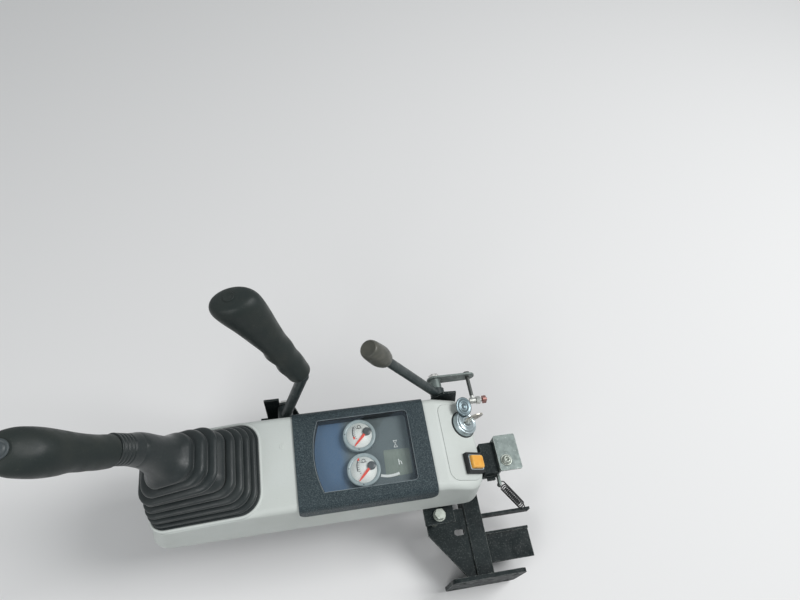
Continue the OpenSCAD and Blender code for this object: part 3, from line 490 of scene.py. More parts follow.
GAUGE_X, HUB_AHEAD, HUB_OUT = 133, 11, 4
DIAL_TOP, SCALE_R, MARKS_R, SCREW_R = -5.2, 20, 17.8, 20.4
RIM = [(23, 0), (23, 9), (22.4, 9.8), (21.4, 10), (18.9, 9.6), (18.2, 9.1), (18.1, 8.3), (0.4, 8.3)]
DIAL = [(18, 8.2), (18, 8.5), (0.4, 8.6)]
RIM_SCREW = [(0.9, 9.4), (0.9, 10), (0.6, 10.3), (0.2, 10.3)]
HUB = [(5.8, 8.4), (5.8, 10.5), (5.2, 11.2), (3, 11.6), (0.3, 11.7)]
NEEDLE_TOP, NEEDLE_TURN = -3.2, math.radians(225)
NEEDLE = ((2, 3.8), (10, 3.4), (20, 2.8), (27, 1.2))  # distance from the hub's middle, width
for name, y, red_start in (("gauge_front", 25.5, 196), ("gauge_rear", -23.5, 142)):
    foot = at(GAUGE_X, y, PANEL_TOP)
    dress(lathe(name + "_rim", RIM, 72, foot), "console", rim_plastic, "gauge_white", name)
    dress(lathe(name + "_dial", DIAL, 72, foot), "console", dial_print, "gauge_white")
    hub_x, hub_y = GAUGE_X + HUB_AHEAD, y + HUB_OUT
    scale = arc_points(hub_x, hub_y, SCALE_R, 152, 196, 16)
    ribbon(name + "_scale", scale, 1.3, DIAL_TOP, scale_print, slot="gauge_white")
    red = arc_points(hub_x, hub_y, SCALE_R, red_start, red_start + 10, 6)
    ribbon(name + "_red_end", red, 2.4, DIAL_TOP + 0.05, needle_paint, slot="gauge_white")
    for i, angle in enumerate((170, 262)):
        turn = math.radians(angle)
        seat = at(GAUGE_X + SCREW_R * math.cos(turn), y + SCREW_R * math.sin(turn), PANEL_TOP)
        dress(lathe(name + "_screw_" + str(i), RIM_SCREW, 20, seat), "console", scale_print, "gauge_white")
    ticks(name + "_marks", hub_x, hub_y, MARKS_R, 150, 208, 7, DIAL_TOP, scale_print)
    symbol = arc_points(GAUGE_X + 1, y + 12.2, 2.3, 0, 360, 20)
    ribbon(name + "_symbol", symbol, 0.7, DIAL_TOP, scale_print, slot="gauge_white")
    line = [(GAUGE_X - 3.4, y + 10.2), (GAUGE_X + 5.4, y + 10.2)]
    ribbon(name + "_symbol_foot", line, 0.7, DIAL_TOP + 0.05, scale_print, slot="gauge_white")
    hub = lathe(name + "_hub", HUB, 48, at(hub_x, hub_y, PANEL_TOP))
    dress(hub, "console", hub_plastic, "needle_red")
    way = Vector((math.cos(NEEDLE_TURN), math.sin(NEEDLE_TURN)))
    line = [(hub_x + way.x * d, hub_y + way.y * d) for d, _ in NEEDLE]
    widths = [width for _, width in NEEDLE]
    needle = ribbon(name + "_needle", line, widths, NEEDLE_TOP, needle_paint, slot="needle_red", thick=0.9)
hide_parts("needles")  # both needles are one node in the solids

# Window: a flat pane of smoked acrylic over the instruments, set flush in the bezel. It is clear
# enough to read through and mirrors the sky weakly.
smoked_acrylic = finish("smoked_acrylic", (0.30, 0.38, 0.46), 0.06, 0.9)
smoked_acrylic.node_tree.nodes["Principled BSDF"].inputs["Alpha"].default_value = 0.07
roughen(smoked_acrylic, spots(smoked_acrylic, 0.03, 0.45, 0.7), 0.03, 0.10)
mottle(smoked_acrylic, 0.05, (0.36, 0.44, 0.50), 0.5)
clad("window", "console", smoked_acrylic, "smoked_window", 0.0005)
# Painted highlight: a pale thin strip round the pane's outline stands for the light caught along its edge.
painted_edge_highlight = finish("painted_edge_highlight", (0.24, 0.29, 0.31), 0.2)
mottle(painted_edge_highlight, 0.02, (0.42, 0.48, 0.50), 0.7)
BOW_R, BOW_X = 136, 203.2
bow = [(BOW_X - math.sqrt(BOW_R ** 2 - y * y), 1.5 + y) for y in range(-50, 51, 4)]
rear_edge = [
    (198, 52), (201, 51.3), (203.2, 49.5), (204, 47), (204, -44), (203.2, -46.8), (201, -48.4), (198, -49),
]
outline = [rear_edge[-1]] + bow + rear_edge
ribbon("window_edge_highlight", outline, 0.5, 2.05, painted_edge_highlight, slot="smoked_window", thick=0.3)

# Switch plate: a second moulding let into the sloping tail, with a dark shadow gap round it.
# The key switch is a satin chromed barrel with a hinged dust cap; its flat key stands in the slot.
clad("switch_plate", "console", cover_plastic, "cover_plastic", 0.0012, 3)
satin_chrome = finish("satin_chrome", (0.43, 0.50, 0.52), 0.3, 1.0)
mottle(satin_chrome, 0.006, (0.32, 0.37, 0.39), 0.4)
roughen(satin_chrome, spots(satin_chrome, 0.004, 0.3, 0.7), 0.26, 0.42)
pebble(satin_chrome, 0.0012, 0.00001)
TAIL_START, TAIL_SLOPE = 244, 26
IGNITION, KEY_TURN, CAP_TURN = (47, 26), 12, 12
tail_turn = Matrix.Rotation(math.radians(TAIL_SLOPE), 4, "Y")


def on_tail(along, across, up):
    """A place on the sloping tail, in millimetres, as a vector of the part's frame."""
    return at(TAIL_START, 0, 0) + tail_turn @ Vector((along, across, up)) / 1000


tail_up = tail_turn @ Vector((0, 0, 1))
BARREL = [
    (11.5, -30), (11.8, -1), (18.4, 0), (19, 0.6), (18.8, 3), (17.8, 7.8), (17.2, 8.8), (16.4, 9.2),
    (14.6, 9.2), (14.1, 8.6), (11.2, 8.5), (10.6, 9.1), (8.8, 9.2), (8.2, 9.9), (7.8, 10.5), (6, 10.6),
    (5.5, 9.9), (3, 9.7), (0.3, 9.6),
]
# Painted shade: a black ring round the switch's foot stands for the dark shadow round the barrel's base.
FOOT_SHADOW_RING = [(18.8, -0.9), (20, -0.7), (20.3, 0.2), (20, 0.9), (19, 1)]
barrel = lathe("key_switch", BARREL, 96, on_tail(*IGNITION, 1), tail_up)
dress(barrel, "console", satin_chrome, "switch_metal", "ignition_switch")
foot_shadow_ring = lathe("key_switch_foot_shadow", FOOT_SHADOW_RING, 96, on_tail(*IGNITION, 1), tail_up)
dress(foot_shadow_ring, "console", black_plastic, "black_plastic")
cap_metal = finish("cap_metal", (0.17, 0.22, 0.24), 0.34, 0.9)
mottle(cap_metal, 0.005, (0.25, 0.30, 0.32), 0.5)
roughen(cap_metal, spots(cap_metal, 0.003, 0.3, 0.7), 0.28, 0.45)
pebble(cap_metal, 0.0012, 0.00001)
cap_turn = tail_turn @ Matrix.Rotation(math.radians(CAP_TURN), 4, "X")
CAP_DISC = [
    (13, 0), (13.9, 0.5), (14, 1.8), (13.4, 2.4), (10.8, 2.5), (10.3, 2), (7.2, 1.9), (6.7, 2.5), (4, 2.5),
    (3.4, 1.7), (0.3, 1.6),
]
cap_place = on_tail(45, 36, 10.3) + cap_turn @ Vector((0, 0.013, 0))
cap = lathe("dust_cap_disc", CAP_DISC, 80, cap_place, cap_turn @ Vector((0, 0, 1)))
dress(cap, "console", cap_metal, "switch_metal", "dust_cap")
KNUCKLE = [(0.8, 0), (1.2, 0.3), (1.2, 7.7), (0.8, 8)]
knuckle = lathe("dust_cap_knuckle", KNUCKLE, 24, on_tail(41, 36, 11.6), tail_turn @ Vector((1, 0, 0)))
dress(knuckle, "console", cap_metal, "switch_metal")
key_metal = finish("key_metal", (0.46, 0.44, 0.39), 0.3, 0.9)
mottle(key_metal, 0.003, (0.33, 0.31, 0.27), 0.5)
tint(key_metal, edges(key_metal, 0.0011, 4), (0.88, 0.87, 0.82), 0.8)
roughen(key_metal, spots(key_metal, 0.002, stretch=(1, 6, 1)), 0.26, 0.46)
pebble(key_metal, 0.0009, 0.00003)


def looped(name, rows):
    """A closed skin over rows of points that follow one another round a loop."""
    work = bmesh.new()
    rows = [[work.verts.new(point) for point in row] for row in rows]
    for row, following in zip(rows, rows[1:] + rows[:1]):
        for i in range(len(row)):
            j = (i + 1) % len(row)
            work.faces.new((row[i], following[i], following[j], row[j]))
    bmesh.ops.recalc_face_normals(work, faces=work.faces[:])
    mesh = bpy.data.meshes.new(name)
    work.to_mesh(mesh)
    work.free()
    return put(name, mesh)


key_turn = tail_turn @ Matrix.Rotation(math.radians(KEY_TURN), 4, "Z")
KEY_HOLE_Z, KEY_HOLE_R, KEY_HALF_T = 36.5, 2.6, 1.2
KEY_HALF = [
    (4, 3.3), (4, 12.5), (5.6, 15.2), (8.6, 17.4), (11, 20.8), (12.3, 25.3), (12.4, 30), (11.5, 34.5), (9.2, 38.6),
    (5.4, 41.5), (0, 42.6),
]
rows = []
for x, z in KEY_HALF + [(-x, z) for x, z in reversed(KEY_HALF[:-1])]:
    reach = math.hypot(x, z - KEY_HOLE_Z)
    x, z = x / reach, (z - KEY_HOLE_Z) / reach
    section = (
        (reach - 0.4, KEY_HALF_T), (reach, KEY_HALF_T - 0.4),
        (reach, 0.4 - KEY_HALF_T), (reach - 0.4, -KEY_HALF_T),
        (KEY_HOLE_R, -KEY_HALF_T), (KEY_HOLE_R, KEY_HALF_T),
    )
    rows.append([
        on_tail(*IGNITION, 0) + key_turn @ Vector((x * far, out, KEY_HOLE_Z + z * far)) / 1000
        for far, out in section
    ])
dress(looped("flat_key", rows), "console", key_metal, "bright_steel", "ignition_key", smooth=False)

# Push switch: an orange translucent cap with a raised border, in a black frame with a silver edge.
# The frame is clipped into the same plate from above.
clad("switch_base", "console", black_plastic, "black_plastic", 0.0012, 3)
orange_lens = finish("orange_lens", (0.88, 0.47, 0.075), 0.22)
mottle(orange_lens, 0.008, (0.80, 0.30, 0.02), 0.6, 0.35, 0.7)
tint(orange_lens, edges(orange_lens, 0.0012, 7), (0.95, 0.66, 0.26), 0.8)
orange_lens.node_tree.nodes["Principled BSDF"].inputs["Coat Weight"].default_value = 0.4
pebble(orange_lens, 0.0012, 0.00005)
clad("switch_cap", "console", orange_lens, "switch_orange", 0.0016, 3)


PUSH_SWITCH, BAND_ROUND = (48, -33), 2.5


def square_band(name, half_l, half_w, width, low, high):
    """A flat frame with round corners round the push switch, between two heights over the plate."""
    rows = []
    for corner in range(4):
        middle_x = PUSH_SWITCH[0] + (half_l - BAND_ROUND) * (1 if corner in (0, 3) else -1)
        middle_y = PUSH_SWITCH[1] + (half_w - BAND_ROUND) * (1 if corner < 2 else -1)
        for turn in range(7):
            angle = math.radians(90 * corner + 15 * turn)
            outer, inner = BAND_ROUND, BAND_ROUND - width
            rows.append([
                on_tail(middle_x + reach * math.cos(angle), middle_y + reach * math.sin(angle), up)
                for reach, up in ((outer, low), (outer, high), (inner, high), (inner, low))
            ])
    return looped(name, rows)


silver_edge = square_band("switch_rim", 11.6, 10.8, 1.5, 8.7, 9.7)
dress(silver_edge, "console", satin_chrome, "switch_metal")
cap_border = square_band("switch_cap_border", 9.3, 8.3, 2.1, 13, 14.5)
dress(cap_border, "console", orange_lens, "switch_orange", smooth=False)

# Gaiter: one dipped and moulded piece of black rubber with eight soft folds, which turn from the
# long base on the nose to the round neck under the grip. It is stretched over a lip in the cover.
gaiter_rubber = finish("gaiter_rubber", (0.014, 0.020, 0.021), 0.42, 0, 0.35)
mottle(gaiter_rubber, 0.03, (0.034, 0.041, 0.040), 0.6, 0.4, 0.75)
mottle(gaiter_rubber, 0.0022, (0.070, 0.076, 0.070), 0.25, 0.58, 0.75, seed=(0, 4, 0))
roughen(gaiter_rubber, spots(gaiter_rubber, 0.012, seed=(2, 2, 0)), 0.30, 0.46)
pebble(gaiter_rubber, 0.0006, 0.00006, 2)
gaiter_rubber.node_tree.nodes["Principled BSDF"].inputs["Sheen Weight"].default_value = 0.15
STICK_X, STICK_LEAN, NOSE_SLOPE = -74, 26, 8
GRIP_TILT, GRIP_SIDE = 5, 12
FOLDS_TOP, NECK_TOP = 79, 132
FOOT_X, FOOT_L, FOOT_W, TOP_W, WAIST = -76.5, 143, 124, 63, 11.2


def mix(a, b, share):
    """The value at that share of the way from a to b."""
    return a + (b - a) * share


def stick_place(t):
    """The stick's axis at t millimetres from the deck's level."""
    lean = math.radians(STICK_LEAN)
    return at(STICK_X - t * math.sin(lean), 0, t * math.cos(lean))


def gaiter_ring(centre, tilt, side, half_l, half_w, front, rear, steps=11):
    """A rectangle with round corners, leaning forwards by tilt and sideways by side."""
    tilt, side = math.radians(tilt), math.radians(side)
    lengthways = Vector((math.cos(tilt), 0, math.sin(tilt)))
    across = Vector((-math.sin(side) * math.sin(tilt), math.cos(side), math.sin(side) * math.cos(tilt)))
    ring = []
    for quarter in range(4):
        back = quarter in (0, 3)
        radius = rear if back else front
        for i in range(steps + 1):
            angle = math.radians(quarter * 90 + i * 90 / steps)
            x = (1 if back else -1) * (half_l - radius) + radius * math.cos(angle)
            y = (1 if quarter < 2 else -1) * (half_w - radius) + radius * math.sin(angle)
            ring.append(centre + (lengthways * x + across * y) / 1000)
    return ring


def fold_ring(share):
    """Ring at a share of the folds, without their waves; the lower folds draw in to a waist."""
    k = share ** 1.3
    above = min(max((share - 0.625) / 0.125, 0), 1)
    waist = WAIST * min(share, 0.625) * (1 - above * above * (3 - 2 * above))
    slope = math.radians(NOSE_SLOPE)
    foot = at(FOOT_X * math.cos(slope), 0, FOOT_X * math.sin(slope))
    centre = foot.lerp(stick_place(FOLDS_TOP), k) - Vector((0.012 * k * (1 - k), 0, 0))
    half_l = mix(FOOT_L, TOP_W, k ** 2.2) / 2 - waist
    half_w = mix(FOOT_W, TOP_W, k ** 1.1) / 2 - waist
    front, rear = mix(18, 24, k) - waist, mix(28, 24, k) - waist
    return gaiter_ring(centre, mix(NOSE_SLOPE, STICK_LEAN, k), 0, half_l, half_w, front, rear)


def lofted(name, rings, start=False, end=False):
    """A skin over rings that run anticlockwise about the way they follow each other."""
    n = len(rings[0])
    points = [point for ring in rings for point in ring]
    faces = [
        (i * n + j, i * n + (j + 1) % n, (i + 1) * n + (j + 1) % n, (i + 1) * n + j)
        for i in range(len(rings) - 1)
        for j in range(n)
    ]
    if start:
        faces.append(tuple(reversed(range(n))))
    if end:
        faces.append(tuple(range((len(rings) - 1) * n, len(rings) * n)))
    mesh = bpy.data.meshes.new(name)
    mesh.from_pydata(points, [], faces)
    return put(name, mesh)


def fold_waves():
    """Geometry Nodes that press the valleys of the folds inwards along the surface's normal."""
    tree, given, sockets = tree_of("fold_waves", folds="Float", depth="Float")
    height, reach = (tree.nodes.new("GeometryNodeInputNamedAttribute") for _ in range(2))
    height.inputs["Name"].default_value = "height"
    reach.inputs["Name"].default_value = "folded"
    phase = step(tree, "MULTIPLY", step(tree, "MULTIPLY", height.outputs["Attribute"], math.pi), given["folds"])
    crest = step(tree, "POWER", step(tree, "ABSOLUTE", step(tree, "COSINE", phase)), 0.85)
    dip = step(tree, "MULTIPLY", step(tree, "SUBTRACT", crest, 1), given["depth"])
    dip = step(tree, "MULTIPLY", dip, reach.outputs["Attribute"])
    normal = tree.nodes.new("GeometryNodeInputNormal")
    shift = tree.nodes.new("ShaderNodeVectorMath")
    shift.operation = "SCALE"
    tree.links.new(normal.outputs[0], shift.inputs[0])
    tree.links.new(dip, shift.inputs["Scale"])
    move = tree.nodes.new("GeometryNodeSetPosition")
    tree.links.new(given["Geometry"], move.inputs["Geometry"])
    tree.links.new(shift.outputs["Vector"], move.inputs["Offset"])
    ended(tree, move.outputs["Geometry"], gaiter_rubber)
    return tree, sockets


waves, (fold_count, fold_depth) = fold_waves()
FOLDS, FOLD_DEPTH, STEPS, SPLIT = 8, 0.0068, 16, 0.5625
levels = [i / (FOLDS * STEPS) for i in range(FOLDS * STEPS + 1)]
CONE_ROWS = [
    (0, 31.5, 1), (0.06, 28.6, 0.9), (0.14, 26.3, 0.75), (0.25, 24.3, 0.55), (0.36, 23.0, 0.4), (0.48, 22.0, 0.28),
    (0.6, 21.3, 0.18), (0.72, 20.8, 0.1), (0.86, 20.25, 0.04), (1, 19.6, 0),
]
grip_turn = Matrix.Rotation(math.radians(-STICK_LEAN), 4, "Y")
for axis, angle in (("Y", -GRIP_TILT), ("X", GRIP_SIDE)):
    grip_turn = grip_turn @ Matrix.Rotation(math.radians(angle), 4, axis)
grip_up = grip_turn @ Vector((0, 0, 1))


def cone_ring(row):
    """Ring of the smooth cone over the folds, which bends round from the stick's way to the grip's."""
    s, radius, squareness = row
    turned = s * s * (3 - 2 * s)
    low, high = stick_place(FOLDS_TOP), stick_place(NECK_TOP)
    reach = (high - low).length
    bent = low * (1 - turned) + high * turned
    bent += (high - low) * (s * (1 - s) ** 2) - grip_up * reach * (s * s * (1 - s))
    corner = radius * (1 - 0.24 * squareness)
    return gaiter_ring(bent, STICK_LEAN + GRIP_TILT * turned, GRIP_SIDE * turned, radius, radius, corner, corner)


def gaiter_piece(name, rings, heights, folded):
    """A skin over the rings with the waves of its folds pressed in."""
    piece = lofted(name, rings)
    n = len(rings[0])
    for label, rows in (("height", heights), ("folded", folded)):
        values = piece.data.attributes.new(label, "FLOAT", "POINT")
        values.data.foreach_set("value", [row for row in rows for _ in range(n)])
    mesh = piece.data
    bpy.data.objects.remove(piece)
    return grown(name, waves, {fold_count: FOLDS, fold_depth: FOLD_DEPTH}, mesh)


cone_rings = [cone_ring(row) for row in CONE_ROWS[1:]]
tucked_in = stick_place(NECK_TOP) + grip_up * 0.002
cone_rings.append(gaiter_ring(tucked_in, STICK_LEAN + GRIP_TILT, GRIP_SIDE, 18.4, 18.4, 18.4, 18.4))
whole_rings = [fold_ring(0)] + [fold_ring(k) for k in levels] + cone_rings
for point in whole_rings[0]:
    point.z -= 0.004
whole_heights = [0] + levels + [1] * len(cone_rings)
whole_folded = [0] + [min(k * 9, 1) for k in levels] + [0] * len(cone_rings)
gaiter = gaiter_piece("gaiter", whole_rings, whole_heights, whole_folded)

# It is cut at a valley into two pieces. On the machine the gaiter bends over two hinges that cross in the gimbal.
cut = 1 + round(SPLIT * FOLDS * STEPS)
n = len(whole_rings[0])
points = [vertex.co.copy() for vertex in gaiter.data.vertices]
rings = [points[i * n:(i + 1) * n] for i in range(len(points) // n)]
bpy.data.objects.remove(gaiter)
lower = lofted("gaiter_low", rings[:cut + 1])
upper = lofted("gaiter_top", rings[cut:])
for piece in (lower, upper):
    piece.data.materials.append(gaiter_rubber)
    for face in piece.data.polygons:
        face.use_smooth = True
    wall = piece.modifiers.new("wall", "SOLIDIFY")
    wall.thickness = 0.0022
    wall.offset = -1
    wall.use_rim = True
    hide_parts("boot")
foot_up = Vector((-math.sin(math.radians(NOSE_SLOPE)), 0, math.cos(math.radians(NOSE_SLOPE))))
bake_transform(lower)
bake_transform(upper)

# Lip round the gaiter's foot: a low rounded bead, moulded in one with the cover, over which the
# gaiter's foot is stretched.
LIP = ((-0.6, -3), (-0.6, 0.5), (-0.2, 1.2), (0.7, 1.7), (1.8, 1.5), (2.8, 0.8), (3.3, -0.2), (3.5, -3))
foot_ring = fold_ring(0)
lip_rings = []
for out, up in LIP:
    ring = []
    for i, point in enumerate(foot_ring):
        tangent = (foot_ring[(i + 1) % len(foot_ring)] - foot_ring[i - 1]).normalized()
        ring.append(point + tangent.cross(foot_up) * out / 1000 + foot_up * up / 1000)
    lip_rings.append(ring)
lip_rings.append(lip_rings[0])
lip = lofted("gaiter_lip", lip_rings)
work = bmesh.new()
work.from_mesh(lip.data)
bmesh.ops.remove_doubles(work, verts=work.verts, dist=1e-5)
bmesh.ops.recalc_face_normals(work, faces=work.faces[:])
work.to_mesh(lip.data)
work.free()
dress(lip, "console", cover_plastic, "cover_plastic")

# Neck and collar: a turned rubber sleeve with four narrow grooves, pushed over the steel rod
# between the gaiter's cone and the grip.


def on_grip(x, y, z):
    """A place in millimetres from the top of the gaiter, with z along the grip."""
    return stick_place(NECK_TOP) + grip_turn @ Vector((x, y, z)) / 1000


sleeve = [(14, -5.2), (18.8, -5), (19.4, -2), (19.45, 0), (19.2, 2.5), (18.8, 5), (18.4, 8), (18, 11.8)]
GROOVE = ((18, -0.6), (17.6, 0), (16.7, 0.6), (16.7, 1.4), (17.6, 2), (18, 2.6))
for groove in (13, 18, 23, 28):
    sleeve += [(radius, groove + along) for radius, along in GROOVE]
sleeve += [(18.1, 32.4), (17.8, 33), (16, 33.1)]
collar = lathe("neck_and_collar", sleeve, 64, on_grip(0, 0, 0), grip_up)
dress(collar, "joystick", gaiter_rubber, "gaiter_rubber", "collar")

# Grip: a hard rubber moulding that swells towards the palm and slopes to the rear at its head,
# with the round horn button let into the slope.
grip_rubber = finish("grip_rubber", (0.021, 0.028, 0.027), 0.45, 0, 0.22)
mottle(grip_rubber, 0.035, (0.038, 0.043, 0.037), 0.6, 0.4, 0.75)
mottle(grip_rubber, 0.0016, (0.080, 0.083, 0.075), 0.25, 0.6, 0.72, seed=(5, 4, 0))
roughen(grip_rubber, spots(grip_rubber, 0.014, seed=(2, 7, 0)), 0.32, 0.50)
pebble(grip_rubber, 0.0005, 0.00005, 2)


def smooth_rows(rows, steps):
    """Rows of a table drawn through by a smooth curve, with that many steps between two rows."""
    out = []
    for i in range(len(rows) - 1):
        a, b, c, d = rows[max(i - 1, 0)], rows[i], rows[i + 1], rows[min(i + 2, len(rows) - 1)]
        for j in range(steps):
            t = j / steps
            out.append([
                0.5 * (
                    2 * q + (r - p) * t + (2 * p - 5 * q + 4 * r - s) * t ** 2 + (3 * q - p - 3 * r + s) * t ** 3
                )
                for p, q, r, s in zip(a, b, c, d)
            ])
    return out + [list(rows[-1])]


def grip_rings(rows, place, around=64, notches=()):
    """Oval sections: distance along, half width, half depth, shift forwards, slope, shift inboard."""
    rings = []
    for along, half_w, half_d, shift, slope, side_shift in rows:
        slope = math.radians(slope)
        ring = []
        for i in range(around):
            a = math.tau * i / around
            press = 1
            for where, wide, side, deep in notches:
                facing = max(math.cos(a - math.radians(side)), 0) ** 3
                press -= deep * math.exp(-((along - where) / wide) ** 2) * facing
            ahead = half_d * press * math.cos(a)
            across = half_w * press * math.sin(a)
            up = along - ahead * math.sin(slope)
            ring.append(place(ahead * math.cos(slope) - shift, across - side_shift, up))
        rings.append(ring)
    return rings


def above_collar(x, y, z):
    """A place in millimetres from the middle of the grip's lower end."""
    return on_grip(x, y, COLLAR_L + z)


COLLAR_L, GRIP_L = 33.3, 123.5
GRIP = [
    (0.3, 16.2, 16, 0, 0, 1.6), (1.2, 17.7, 17.5, 0, 0, 1.7), (4, 18.3, 18.1, 0, 0, 2.1),
    (20, 18.8, 18.5, 0, 0, 3.4), (33, 19.4, 19, 0, 0, 3.6), (47, 20.4, 19.5, 0, 0, 3.5),
    (69, 23.2, 21.5, 1, 4, 3.2), (84, 24.5, 23.5, 2, 9, 2.8), (97, 24.4, 24, 3, 17, 2.2),
    (108, 23.3, 23.5, 4, 25, 1.5), (117, 20, 20.5, 4, 32, 1), (121.8, 15.5, 16, 3, 35, 0.5),
    (GRIP_L, 11.5, 11.5, 2, 35, 0),
]
FINGER_NOTCHES = ((52, 9, 270, 0.05), (30, 8, 270, 0.03))
rings = grip_rings(smooth_rows(GRIP, 6), above_collar, notches=FINGER_NOTCHES)
dress(lofted("joystick_grip", rings, True, True), "joystick", grip_rubber, "grip_rubber", "grip")
button_grey = finish("button_grey", (0.050, 0.062, 0.067), 0.4, 0, 0.4)
mottle(button_grey, 0.004, (0.080, 0.094, 0.096), 0.5)
pebble(button_grey, 0.0006, 0.00005, 2)
button_up = grip_turn @ Matrix.Rotation(math.radians(35), 4, "Y") @ Vector((0, 0, 1))
HORN = [
    (10, 0), (10, 1.6), (9.4, 2.4), (7.8, 2.6), (7.4, 2.1), (6.6, 2.1), (6.2, 2.7), (5, 3.2), (2, 3.5),
    (0.3, 3.6),
]
horn = lathe("horn_button_cap", HORN, 56, on_grip(-2, 0, COLLAR_L + GRIP_L + 0.3), button_up)
dress(horn, "joystick", button_grey, "button_grey", "horn_button")

# Inside the gaiter: the bright steel rod on its gimbal, the cam plate, and the pilot valve with
# its four plungers. Cast and machined faces, lightly oiled.
bright_steel = finish("bright_steel", (0.62, 0.62, 0.60), 0.32, 1.0)
mottle(bright_steel, 0.01, (0.45, 0.44, 0.41), 0.5)
roughen(bright_steel, spots(bright_steel, 0.003, stretch=(1, 1, 5)), 0.24, 0.46)
pebble(bright_steel, 0.0008, 0.00003)
clad("stick", "joystick", bright_steel, "bright_steel", 0.0004)
clad("gimbal", "gimbal", bright_steel, "bright_steel", 0.0004)
clad("valve_plungers", "console", bright_steel, "bright_steel", 0.0003)
cast_metal = finish("cast_metal", (0.20, 0.21, 0.22), 0.5, 0.8)
mottle(cast_metal, 0.02, (0.13, 0.135, 0.14), 0.6)
tint(cast_metal, edges(cast_metal, 0.0012, 2), (0.45, 0.45, 0.44), 0.6)
pebble(cast_metal, 0.0016, 0.00015)
clad("pilot_valve", "console", cast_metal, "cast_metal", 0.0015, 3)
clad("cam_plate", "joystick", cast_metal, "cast_metal", 0.0008)

# Lever bracket: folded 3 mm steel in satin black paint, bolted under the tray, with two cheeks for
# the blade lever and one for the throttle. Bright pivot bolts hold both levers.
dark_steel = finish("dark_steel", (0.011, 0.016, 0.017), 0.46, 0, 0.12)
mottle(dark_steel, 0.04, (0.026, 0.035, 0.036), 0.6)
mottle(dark_steel, 0.0016, (0.12, 0.14, 0.135), 0.4, 0.56, 0.66, seed=(1, 5, 2))
tint(dark_steel, edges(dark_steel, 0.0012, 3), (0.34, 0.36, 0.34), 0.7)
roughen(dark_steel, spots(dark_steel, 0.01, seed=(6, 0, 0)), 0.38, 0.62)
pebble(dark_steel, 0.0012, 0.00008, 3)
clad("lever_bracket", "console", dark_steel, "dark_steel", 0.0008)
clad("lever_pivots", "console", bright_steel, "bright_steel", 0.0006)

# Blade lever: a bent steel rod in worn grey paint with a long rubber grip, oval at its head, with
# finger bumps along its inboard side and a small plain round disc moulded in its top.
rod_paint = finish("rod_paint", (0.028, 0.039, 0.040), 0.36, 0, 0.35)
mottle(rod_paint, 0.02, (0.056, 0.070, 0.070), 0.5)
mottle(rod_paint, 0.003, (0.19, 0.20, 0.19), 0.35, 0.6, 0.7, stretch=(1, 1, 0.4))
roughen(rod_paint, spots(rod_paint, 0.008), 0.3, 0.5)
pebble(rod_paint, 0.001, 0.00005, 3)
clad("blade_rod", "blade_lever", rod_paint, "rod_paint", 0.0008)
BLADE_ROD_L, BLADE_ROD_LEAN, BLADE_GRIP_FOOT = 134, math.radians(14), 8
bend_turn = Matrix.Rotation(math.radians(-23), 4, "Y") @ Matrix.Rotation(math.radians(-11), 4, "X")
rod_way = Vector((BLADE_ROD_L * math.sin(BLADE_ROD_LEAN), 0, BLADE_ROD_L * math.cos(BLADE_ROD_LEAN)))
bend_place = at(31, 90, -60) + rod_way / 1000
BLADE_GRIP = [
    (0, 13, 12.5, 0, 0), (1, 14.8, 14.3, 0, 0), (4, 16, 15.5, 0, 0), (14, 16.6, 16, 0, 0),
    (28, 18.2, 16.6, 0.6, 0), (42, 16.8, 16.8, 0, 0), (58, 19.4, 17.2, 0.8, 0), (73, 18.2, 17.6, 0, 0),
    (97, 21.5, 18.6, 1, 2), (122, 25.6, 20.2, 2, 4), (144, 29.4, 21.8, 4, 6), (157, 29.6, 21.8, 5, 8),
    (165, 25, 18.5, 5, 9), (168, 17, 12.5, 5, 9), (169, 8, 6, 5, 9),
]


def on_bend(x, y, z):
    """A place in millimetres from the foot of the blade lever's grip, with z along the grip."""
    return bend_place + bend_turn @ Vector((x, y, z + BLADE_GRIP_FOOT)) / 1000


rows = [(row[0], row[2], row[1], row[3], row[4], 0) for row in smooth_rows(BLADE_GRIP, 6)]
blade_grip = lofted("blade_lever_grip", grip_rings(rows, on_bend), True, True)
dress(blade_grip, "blade_lever", grip_rubber, "grip_rubber", "blade_grip")
DISC = [(7.2, -2), (7.2, 0.3), (6.7, 0.8), (5.8, 0.8), (5.4, 0.4), (0.3, 0.4)]
disc_up = bend_turn @ Matrix.Rotation(math.radians(9), 4, "Y") @ Vector((0, 0, 1))
disc = lathe("blade_grip_disc", DISC, 48, on_bend(-5, 0, 169.1), disc_up)
dress(disc, "blade_lever", grip_rubber, "grip_rubber")

# Throttle lever: a straight painted rod on a short hub, with a barrel knob of brown-grey
# plastic, and a zinc plated crank outboard that pulls the engine's cable through a swivel.
clad("throttle_rod", "throttle_lever", rod_paint, "rod_paint", 0.0008)
knob_plastic = finish("knob_plastic", (0.072, 0.074, 0.062), 0.4, 0, 0.4)
mottle(knob_plastic, 0.012, (0.115, 0.112, 0.092), 0.5, stretch=(1, 1, 2))
tint(knob_plastic, edges(knob_plastic, 0.0015, 5), (0.21, 0.20, 0.165), 0.5)
roughen(knob_plastic, spots(knob_plastic, 0.005), 0.28, 0.5)
pebble(knob_plastic, 0.0012, 0.00006)
KNOB = [
    (9.6, 0), (10.4, 0.5), (12, 3.7), (14.2, 13.8), (14.5, 20.7), (13.7, 36.8), (12.9, 42.3), (12.2, 44.4),
    (11.2, 45.7), (10.3, 46),
]
KNOB_LEAN, THROTTLE_L = math.radians(33), 0.1643
knob_way = Vector((-math.sin(KNOB_LEAN), 0, math.cos(KNOB_LEAN)))
turned = smooth_rows(KNOB, 4) + [(9.8, 45.7), (9, 45.6), (0.3, 45.7)]
knob = lathe("throttle_lever_knob", turned, 64, at(262, 84, -34) + knob_way * THROTTLE_L, knob_way)
dress(knob, "throttle_lever", knob_plastic, "knob_plastic", "throttle_knob")
zinc_plate = finish("zinc_plate", (0.19, 0.225, 0.215), 0.45, 0.6)
mottle(zinc_plate, 0.012, (0.12, 0.145, 0.14), 0.6)
